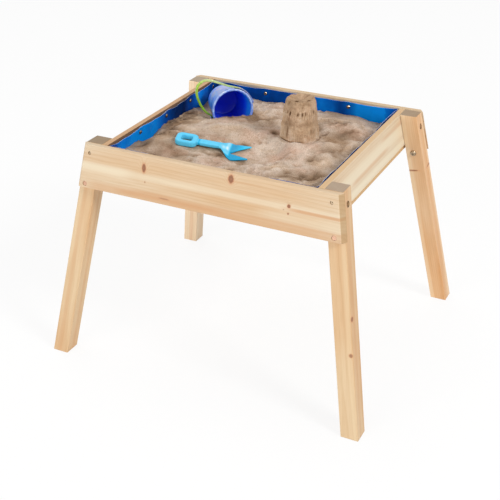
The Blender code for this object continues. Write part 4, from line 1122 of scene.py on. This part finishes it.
def bucketTone(points):
    # 0 where the wall is thin, painted light as if it came through, on the right side near the mouth; 1 deep
    # inside, painted shade
    x, y, height = toWorld(points, bucketFrame.inverted()).T
    deep = smoothStep(-height / bucketSize["depth"] * 1.5)
    lit = smoothStep((x / bucketSize["mouthRadius"] - 0.35) / 0.4)
    return np.clip(0.30 + 0.65 * deep - 0.55 * lit * (1 - 0.5 * deep), 0, 1)


def letLightIn(tree, shader, weight, radius, scale):
    # Light wanders inside the plastic, further in the colours of the greater radius
    fill(tree, shader, {
        "Subsurface Weight": weight, "Subsurface Radius": radius, "Subsurface Scale": scale})


def plasticMaterial(
        name, tones, roughness, dust, dustTone, glow=0.0, toneStops=None, shine=0.5, patch=22.0):
    # Moulded plastic: even colour with a soft gloss and faint flow marks. Dry sand clings to it, most on what
    # faces up; glow lets light wander inside a thin wall, as it does in polypropylene. Tone stops colour it
    # by the points' tone, which holds painted light and shade on the bucket and the fork.
    material, tree, shader = newMaterial(name)
    place = objectPlace(tree)
    skin = colourRamp(tree, noiseValue(tree, place, patch, 2.0), [(0.3, tones[0]), (0.7, tones[1])])
    if toneStops:
        skin = mixColours(tree, 0.95, skin, colourRamp(tree, pointValue(tree, "tone"), toneStops))
    grit = mapped(tree, noiseValue(tree, place, 170.0, 5.0, 0.7), 0.42, 0.66, 0.0, 1.0)
    bloom = mapped(tree, noiseValue(tree, place, 40.0, 3.0), 0.34, 0.60, 0.2, 1.0)
    settled = mapped(tree, upwardness(tree), 0.1, 0.75, 0.05, 1.0)
    film = times(tree, bloom, plus(tree, times(tree, grit, 0.5), 0.5))
    film = times(tree, film, times(tree, settled, dust))
    uneven = plus(tree, times(tree, noiseValue(tree, place, 300.0, 3.0), 0.08), roughness - 0.04)
    fill(tree, shader, {
        "Base Color": mixColours(tree, film, skin, colour(dustTone)),
        "Roughness": plus(tree, times(tree, film, 0.4), uneven),
        "Normal": bumped(tree, noiseValue(tree, place, 520.0, 3.0), 0.08, 0.12 * mm),
        "Specular IOR Level": shine})
    if glow:
        letLightIn(tree, shader, glow, (0.15, 0.35, 1.0), 4 * mm)
    return material


# Handle: a bendy strap with an eye at each end

def strapFrame():
    # +X across the bucket from pin to pin, +Y up along the leaning strap
    lean = radians(handleSize["lean"])
    up = riseAxis * cos(lean) - outward * sin(lean)
    return frameOf(across, up, across.cross(up), pivot)


def strapRoute():
    # The strap's middle line in that frame, in metres
    return smoothCurve(handleSize["route"], 10) * [handleSize["halfWidth"], handleSize["height"]]


def handleSurface():
    # A rounded flat section carried along a route in the plane of across and up, then an eye at each end
    h = handleSize
    plane, route = strapFrame(), strapRoute()
    along = np.gradient(route, axis=0)
    along /= np.linalg.norm(along, axis=1)[:, None]
    side = np.stack([-along[:, 1], along[:, 0]], -1)
    section = roundedOutline(h["width"] / 2, h["thickness"] / 2, h["corner"], 5)
    swell = np.interp(np.linspace(0, 1, len(route)), [0, 0.05, 0.16, 0.58, 0.72, 1], [
        1, 1, h["swell"], h["swell"], 1, 1])
    grid = np.zeros((len(route), len(section), 3))
    grid[..., :2] = route[:, None, :] + side[:, None, :] * (swell[:, None] * section[None, :, 1])[..., None]
    grid[..., 2] = section[None, :, 0]
    shells = [shell(toWorld(grid, plane), wrapColumns=True, closeStart=True, closeEnd=True)]
    half, bore, radius, edge = h["thickness"] / 2, h["eyeBore"], h["eyeRadius"], h["eyeEdge"]
    ring = [(bore, edge - half), (bore + edge, -half), (radius - edge, -half), (radius, edge - half),
            (radius, half - edge), (radius - edge, half), (bore + edge, half), (bore, half - edge)]
    up, through = plane.col[1].xyz, plane.col[2].xyz
    for sign in (-1, 1):
        turned = frameOf(up, through, across, pivot + across * (sign * h["halfWidth"]))
        shells.append(shell(toWorld(lathe(ring, 40), turned), wrapRows=True, wrapColumns=True))
    return shells


def strapReach(points):
    # Share of the route, from the left eye to the right one, at which each point of the strap lies
    local, route = toWorld(points, strapFrame().inverted()), strapRoute()
    nearest = ((local[:, None, :2] - route[None]) ** 2).sum(-1).argmin(1)
    return nearest / (len(route) - 1)


def strapMaterial():
    # Lime polypropylene: painted paler at the top of its bend as light coming through it, painted darker
    # olive towards both ends as shade, and caked with pale dust where it lies along the rim
    material, tree, shader = newMaterial("limePolypropylene")
    place = objectPlace(tree)
    tone = colourRamp(tree, pointValue(tree, "reach"), [
        (0.0, "2C4609"), (0.12, "4C7416"), (0.25, "84B61A"), (0.42, "A8CE40"), (0.53, "CCDC98"),
        (0.64, "B2CE88"), (0.72, "AEB464"), (0.78, "9FA7CC"), (1.0, "7C96E0")])
    grit = colourRamp(tree, noiseValue(tree, place, 190.0, 4.0, 0.7), [(0.35, "DADADA"), (0.6, "FFFFFF")])
    fill(tree, shader, {
        "Base Color": mixColours(tree, 1.0, tone, grit, "MULTIPLY"), "Roughness": 0.38,
        "Normal": bumped(tree, noiseValue(tree, place, 420.0, 3.0), 0.15, 0.2 * mm)})
    letLightIn(tree, shader, 0.3, (0.6, 1.0, 0.2), 3 * mm)
    return material


# Fork: moulded plastic, a loop grip, a ribbed shaft and a scooped head with two tines

def loopSurface(length, width, corner, sideWidth, endWidth, thickness):
    # A rounded section carried round a rounded rectangle, wider at its two ends than along its sides
    outer = roundedOutline(length / 2, width / 2, corner, 14)
    inner = roundedOutline(length / 2 - endWidth, width / 2 - sideWidth, corner / 2, 14)
    angle = np.linspace(0, 2 * pi, 24, endpoint=False)
    flat, rise = squaredRound(angle, 0.5, 0.5)
    grid = np.zeros((len(outer), len(angle), 3))
    grid[..., :2] = ((outer + inner) / 2)[:, None] + ((outer - inner) / 2)[:, None] * flat[None, :, None]
    grid[..., 2] = thickness / 2 * rise
    return grid


# One row for each place along the head: the place, then as shares of the half width where the notch and the
# outer edge lie on the near side, and the same on the far side
headRows = np.array([
    (0.00, 0.00, 0.26, 0.00, 0.26), (0.10, 0.00, 0.40, 0.00, 0.40), (0.20, 0.00, 0.64, 0.00, 0.64),
    (0.30, 0.00, 0.90, 0.00, 0.90), (0.37, 0.34, 0.97, -0.34, 0.98), (0.43, 0.36, 1.00, -0.22, 1.01),
    (0.50, 0.39, 1.00, -0.04, 1.04), (0.58, 0.42, 0.98, 0.16, 1.05), (0.70, 0.48, 0.92, 0.41, 1.04),
    (0.82, 0.54, 0.83, 0.63, 1.02), (0.92, 0.59, 0.75, 0.81, 1.01), (1.00, 0.62, 0.68, 0.92, 0.99)])
notch, notchSide = 0.37, 0.34


def shaftGrid():
    # A rounded square section with a flute on its top, waisted at the ferrule and thinner under the head
    f = forkSize
    end = headStart + 6 * mm
    x = np.linspace(f["gripLength"] / 2 - f["gripEnd"] / 2, end, 60)
    ferrule = bell(x - f["gripLength"] / 2 - 3.5 * mm, 1.1 * mm)
    width = f["shaftWidth"] * (1 - 0.10 * ferrule)
    thick = f["shaftThickness"] * (1 - 0.16 * ferrule) * np.interp(x, [headStart - 8 * mm, end], [1, 0.7])
    section = roundedOutline(0.5, 0.5, 0.22, 6)
    fluted = 1 - 0.16 * bell(section[:, 0], 0.16) * (section[:, 1] > 0)
    grid = np.zeros((len(x), len(section), 3))
    grid[..., 0] = x[:, None]
    grid[..., 1] = section[None, :, 0] * width[:, None]
    grid[..., 2] = section[None, :, 1] * fluted[None, :] * thick[:, None]
    return grid


def tineGrid(side, inner, outer):
    # Half of the head and its tine, from a middle seam or the notch out to its edge, on the folded plate
    f = forkSize
    t = np.linspace(0, 1, 90)
    flat, rise = squaredRound(np.linspace(0, 2 * pi, 44, endpoint=False), 0.7, 0.55)
    inner, outer = np.interp(t, headRows[:, 0], inner), np.interp(t, headRows[:, 0], outer)
    outer = np.convolve(np.pad(outer, 4, mode="edge"), np.ones(9) / 9, "valid")
    left = np.where(t < notch, -side * notchSide - 0.02, inner - 0.01)
    centre, half = (left + outer) / 2, (outer - left) / 2
    share = (centre[:, None] + half[:, None] * flat[None, :]) * side
    along = t[:, None] + 0 * share
    fold = 0.9 * mm * bell(along - f["fold"] + 0.20, 0.05)
    flatter = np.minimum((1 - along) / (1 - f["fold"]), 1)
    lift = headMiddle(along * f["headLength"]) - f["droop"] * share ** 2 * flatter + fold
    thick = f["headThickness"] * (1 + 0.45 * bell(t[:, None] - notch, 0.22))
    x = headStart + along * f["headLength"]
    return np.stack([x, share * f["headHalfWidth"], lift + thick / 2 * (rise[None, :] - 1)], -1)


def forkSurface():
    # Grip, shaft and two halves of the head, each one closed surface, laid in the sand together
    f = forkSize
    turned = (Matrix.Translation(f["middle"]) @ Matrix.Rotation(radians(f["heading"]), 4, "Z")
              @ Matrix.Rotation(-radians(f["pitch"]), 4, "Y") @ Matrix.Rotation(radians(f["roll"]), 4, "X"))
    grip = loopSurface(
        f["gripLength"], f["gripWidth"], f["gripCorner"], f["gripSide"], f["gripEnd"], f["gripThickness"])
    near, far = tineGrid(-1, headRows[:, 1], headRows[:, 2]), tineGrid(1, headRows[:, 3], headRows[:, 4])
    return [shell(toWorld(grip, turned), wrapRows=True, wrapColumns=True)] + [
        shell(toWorld(grid, turned), wrapColumns=True, closeStart=True, closeEnd=True)
        for grid in (shaftGrid(), near, far)]


def forkTone(points):
    # 0 on the white painted highlight along the crest of the head's fold, 0.35 on the grip and shaft, 1 where
    # painted
    # shade makes the tines deepest in colour: right past the fold, and all along the near tine
    f = forkSize
    along, sideways = forkPlace(points[:, 0], points[:, 1])
    past = along - headStart - f["headLength"] * f["fold"]
    near = smoothStep((-sideways - 4 * mm) / (6 * mm))
    paling = 1 - (0.80 - 0.60 * near) * smoothStep((past + 2 * mm) / (24 * mm))
    tone = 0.35 + 0.65 * smoothStep((past + 9 * mm) / (4 * mm)) * paling
    # painted shade on the near outer edge of the head
    tone = tone + 0.6 * smoothStep((-sideways - 22 * mm) / (5 * mm)) * smoothStep((past + 26 * mm) / (6 * mm))
    # the crest's white is a painted highlight, patchy along it
    worn = (0.6 + 0.4 * softNoise(sideways, past * 0.3, 6 * mm, 33)) * (1 - 0.8 * near)
    tone = tone - 0.35 * worn * bell(past + 12.5 * mm, 2.8 * mm)
    # a second painted highlight on the plate before the fold
    tone = tone - 0.20 * bell(past + 20 * mm, 4 * mm) * bell(sideways + 3 * mm, 6 * mm)
    # painted shade in the ferrule's groove
    ferrule = along - f["gripLength"] / 2 - 3.5 * mm
    return np.clip(tone + 0.5 * bell(ferrule, 1.3 * mm), 0, 1)


# Clods: crumbs of sand that lie loose on the surface

clodSize = {"count": 420, "seed": 17, "reach": (0.212, 0.208), "largest": 1.8 * mm, "castleGap": 3.5 * mm}


def clodShells(heightAt):
    # Small eight-cornered lumps, each squashed and turned its own way
    c = clodSize
    rng = np.random.default_rng(c["seed"])
    cube = np.array([(x, y, z) for x in (-1, 1) for y in (-1, 1) for z in (-1, 1)], float)
    faces = [[0, 1, 3, 2], [4, 6, 7, 5], [0, 4, 5, 1], [2, 3, 7, 6], [0, 2, 6, 4], [1, 5, 7, 3]]
    reachX, reachY = c["reach"]
    shells = []
    while len(shells) < c["count"]:
        x, y = rng.uniform(-reachX, reachX), rng.uniform(-reachY, reachY)
        height = heightAt(x, y)
        if height is None:
            continue
        size = rng.uniform(0.5, 1.0) ** 2 * c["largest"]
        turn = np.linalg.qr(rng.normal(size=(3, 3)))[0]
        lump = (cube * rng.uniform(0.55, 1.0, (8, 1))) @ turn * size * rng.uniform(0.6, 1.1, 3)
        shells.append((lump + [x, y, height + size * 0.25], faces))
    return shells


# Putting it together

for name, board in boards.items():
    coat(name, pineMaterial("planedPine_" + name, board))
coat("floor_panel", plywoodMaterial())
giveMetals()
print("frame finished in pine, plywood and metal")

drySand = sandMaterial("dryPlaySand", ("6B5542", "9E866F", "C4AE9A", "DDCCBC"))
packedSand = sandMaterial("dampPackedSand", ("5E4630", "9C8064", "C4A78A", "DCC8B0"), 0.35)

sandBed = makePiece("sandBed", sandSurface(), [drySand], "table")
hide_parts("sand_fill")
topPoints = pointsOf(sandBed)
markPoints(sandBed, "tone", sandTone(topPoints[:, 0], topPoints[:, 1]))
topPoints = topPoints[topPoints[:, 2] > sandSize["low"] + 2 * mm]


def looseSpot(x, y):
    # Height of the sand there, or nothing under the toys and the castle
    x, y = np.array(x), np.array(y)
    if castleRing(x, y)[0] < clodSize["castleGap"]:
        return None
    if forkBed(x, y)[1] < 2 * mm or bucketSpace(x, y) < 1:
        return None
    return topPoints[np.argmin((topPoints[:, 0] - x) ** 2 + (topPoints[:, 1] - y) ** 2), 2]


clods = makePiece("sandClods", clodShells(looseSpot), [drySand], "table", smooth=False)
markPoints(clods, "tone", 0.12 + sandTone(*pointsOf(clods).T[:2]))
print("sand laid")

castle = makePiece("sandCastle", castleSurface(), [packedSand], "table")
markPoints(castle, "tone", castleTone(pointsOf(castle)))
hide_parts("sand_castle")
print("castle turned out")

liner = makePiece("trayLiner", linerSurface(), [vinylMaterial(), cutEdgeMaterial()], "table")
markPoints(liner, "tone", linerTone(pointsOf(liner)))
wall = liner.modifiers.new("sheet", "SOLIDIFY")
wall.thickness = linerSize["thickness"]
wall.offset = 1.0
wall.material_offset_rim = 1
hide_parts("liner")
print("liner folded in")

# the inside's tone stops carry the bucket's painted light and shade
bucketPlastics = [
    plasticMaterial("bluePolypropylene", ("0640D0", "0A56E6"), 0.34, 0.04, "CFC7C4", glow=0.5, toneStops=[
        (0.0, "1C92FF"), (0.3, "085EFC"), (0.65, "0042E0"), (1.0, "0036D2")]),
    # the outside is painted paler than the inside: painted light on it, together with a film of dry sand dust
    plasticMaterial(
        "dustyPaintedLitBluePolypropylene", ("1670FA", "50A8FC"), 0.40, 1.25, "C0C2E2", glow=0.4, patch=70.0),
    plasticMaterial("sandyBlueRim", ("1458DC", "A8C8F6"), 0.55, 1.2, "E4E8F6", patch=130.0)]
bucket = makePiece("toyBucket", bucketSurface(), bucketPlastics, "bucket", outsideOfBucket)
markPoints(bucket, "tone", bucketTone(pointsOf(bucket)))
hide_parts("bucket")
handle = makePiece("bucketStrap", handleSurface(), [strapMaterial()], "bail")
markPoints(handle, "reach", strapReach(pointsOf(handle)))
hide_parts("bucket_handle")
# the fork's tone stops run from the painted white highlight through cyan to painted shade
forkPlastic = plasticMaterial("cyanAbs", ("4CC4EE", "68D0F6"), 0.24, 0.05, "E4F6FC", shine=0.07, toneStops=[
    (0.0, "F2FCFF"), (0.2, "A0E2FA"), (0.36, "5ACCF4"), (0.6, "0CBCEC"), (1.0, "0098CA")])
fork = makePiece("toyFork", forkSurface(), [forkPlastic], "fork")
markPoints(fork, "tone", forkTone(pointsOf(fork)))
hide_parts("fork")
print("toys made")


# Studio: a pale floor, soft lamps and a plain white world

studio = {
    "floorReach": 14.0, "floorTone": "FAFAFA", "floorGlow": 0.87, "worldStrength": 0.43,
    "lookAt": (0, 0, 0.35),
    "lamps": [  # name, place, side of its square and power
        ("rightLamp", (4.6, -1.24, 4.0), 1.5, 186), ("frontLamp", (-1.4, -5.4, 1.7), 3.6, 148),
        ("topLamp", (-1.8, 1.2, 5.4), 3.2, 74)]}


def makeFloor():
    # It takes the part's shadow, and where it is seen it shines a little, so that it stays pale
    material, tree, shader = newMaterial("paleFloor")
    fill(tree, shader, {
        "Base Color": colour(studio["floorTone"]), "Roughness": 0.9, "Specular IOR Level": 0.1})
    glow = addNode(tree, "Emission", {"Color": (1, 1, 1, 1), "Strength": 1.0})
    fade = times(tree, seenDirectly(tree), studio["floorGlow"])
    mix = addNode(tree, "MixShader", {0: fade, 1: shader.outputs[0], 2: glow.outputs[0]})
    fill(tree, tree.nodes["Material Output"], {"Surface": mix.outputs[0]})
    mesh = bpy.data.meshes.new("floor")
    reach = studio["floorReach"]
    mesh.from_pydata([(sx * reach, sy * reach, 0) for sx, sy in quarters], [], [(2, 3, 0, 1)])
    mesh.materials.append(material)
    floor = bpy.data.objects.new("floor", mesh)
    bpy.context.scene.collection.objects.link(floor)


def makeWorld():
    # White to the eye, dimmer as a light
    world = bpy.data.worlds.new("studio")
    bpy.context.scene.world = world
    world.use_nodes = True
    tree = world.node_tree
    strength = mapped(tree, seenDirectly(tree), 0.0, 1.0, studio["worldStrength"], 1.0)
    fill(tree, tree.nodes["Background"], {"Color": (1, 1, 1, 1), "Strength": strength})


def hangLamps():
    # Square area lamps, each turned to look at the table's middle
    for name, at, size, power in studio["lamps"]:
        data = bpy.data.lights.new(name, "AREA")
        data.shape = "SQUARE"
        data.size = size
        data.energy = power
        lamp = bpy.data.objects.new(name, data)
        bpy.context.scene.collection.objects.link(lamp)
        lamp.location = at
        lamp.rotation_euler = (Vector(studio["lookAt"]) - Vector(at)).to_track_quat("-Z", "Y").to_euler()


bpy.context.scene.view_settings.view_transform = "Standard"
makeFloor()
makeWorld()
hangLamps()
print("studio lit")
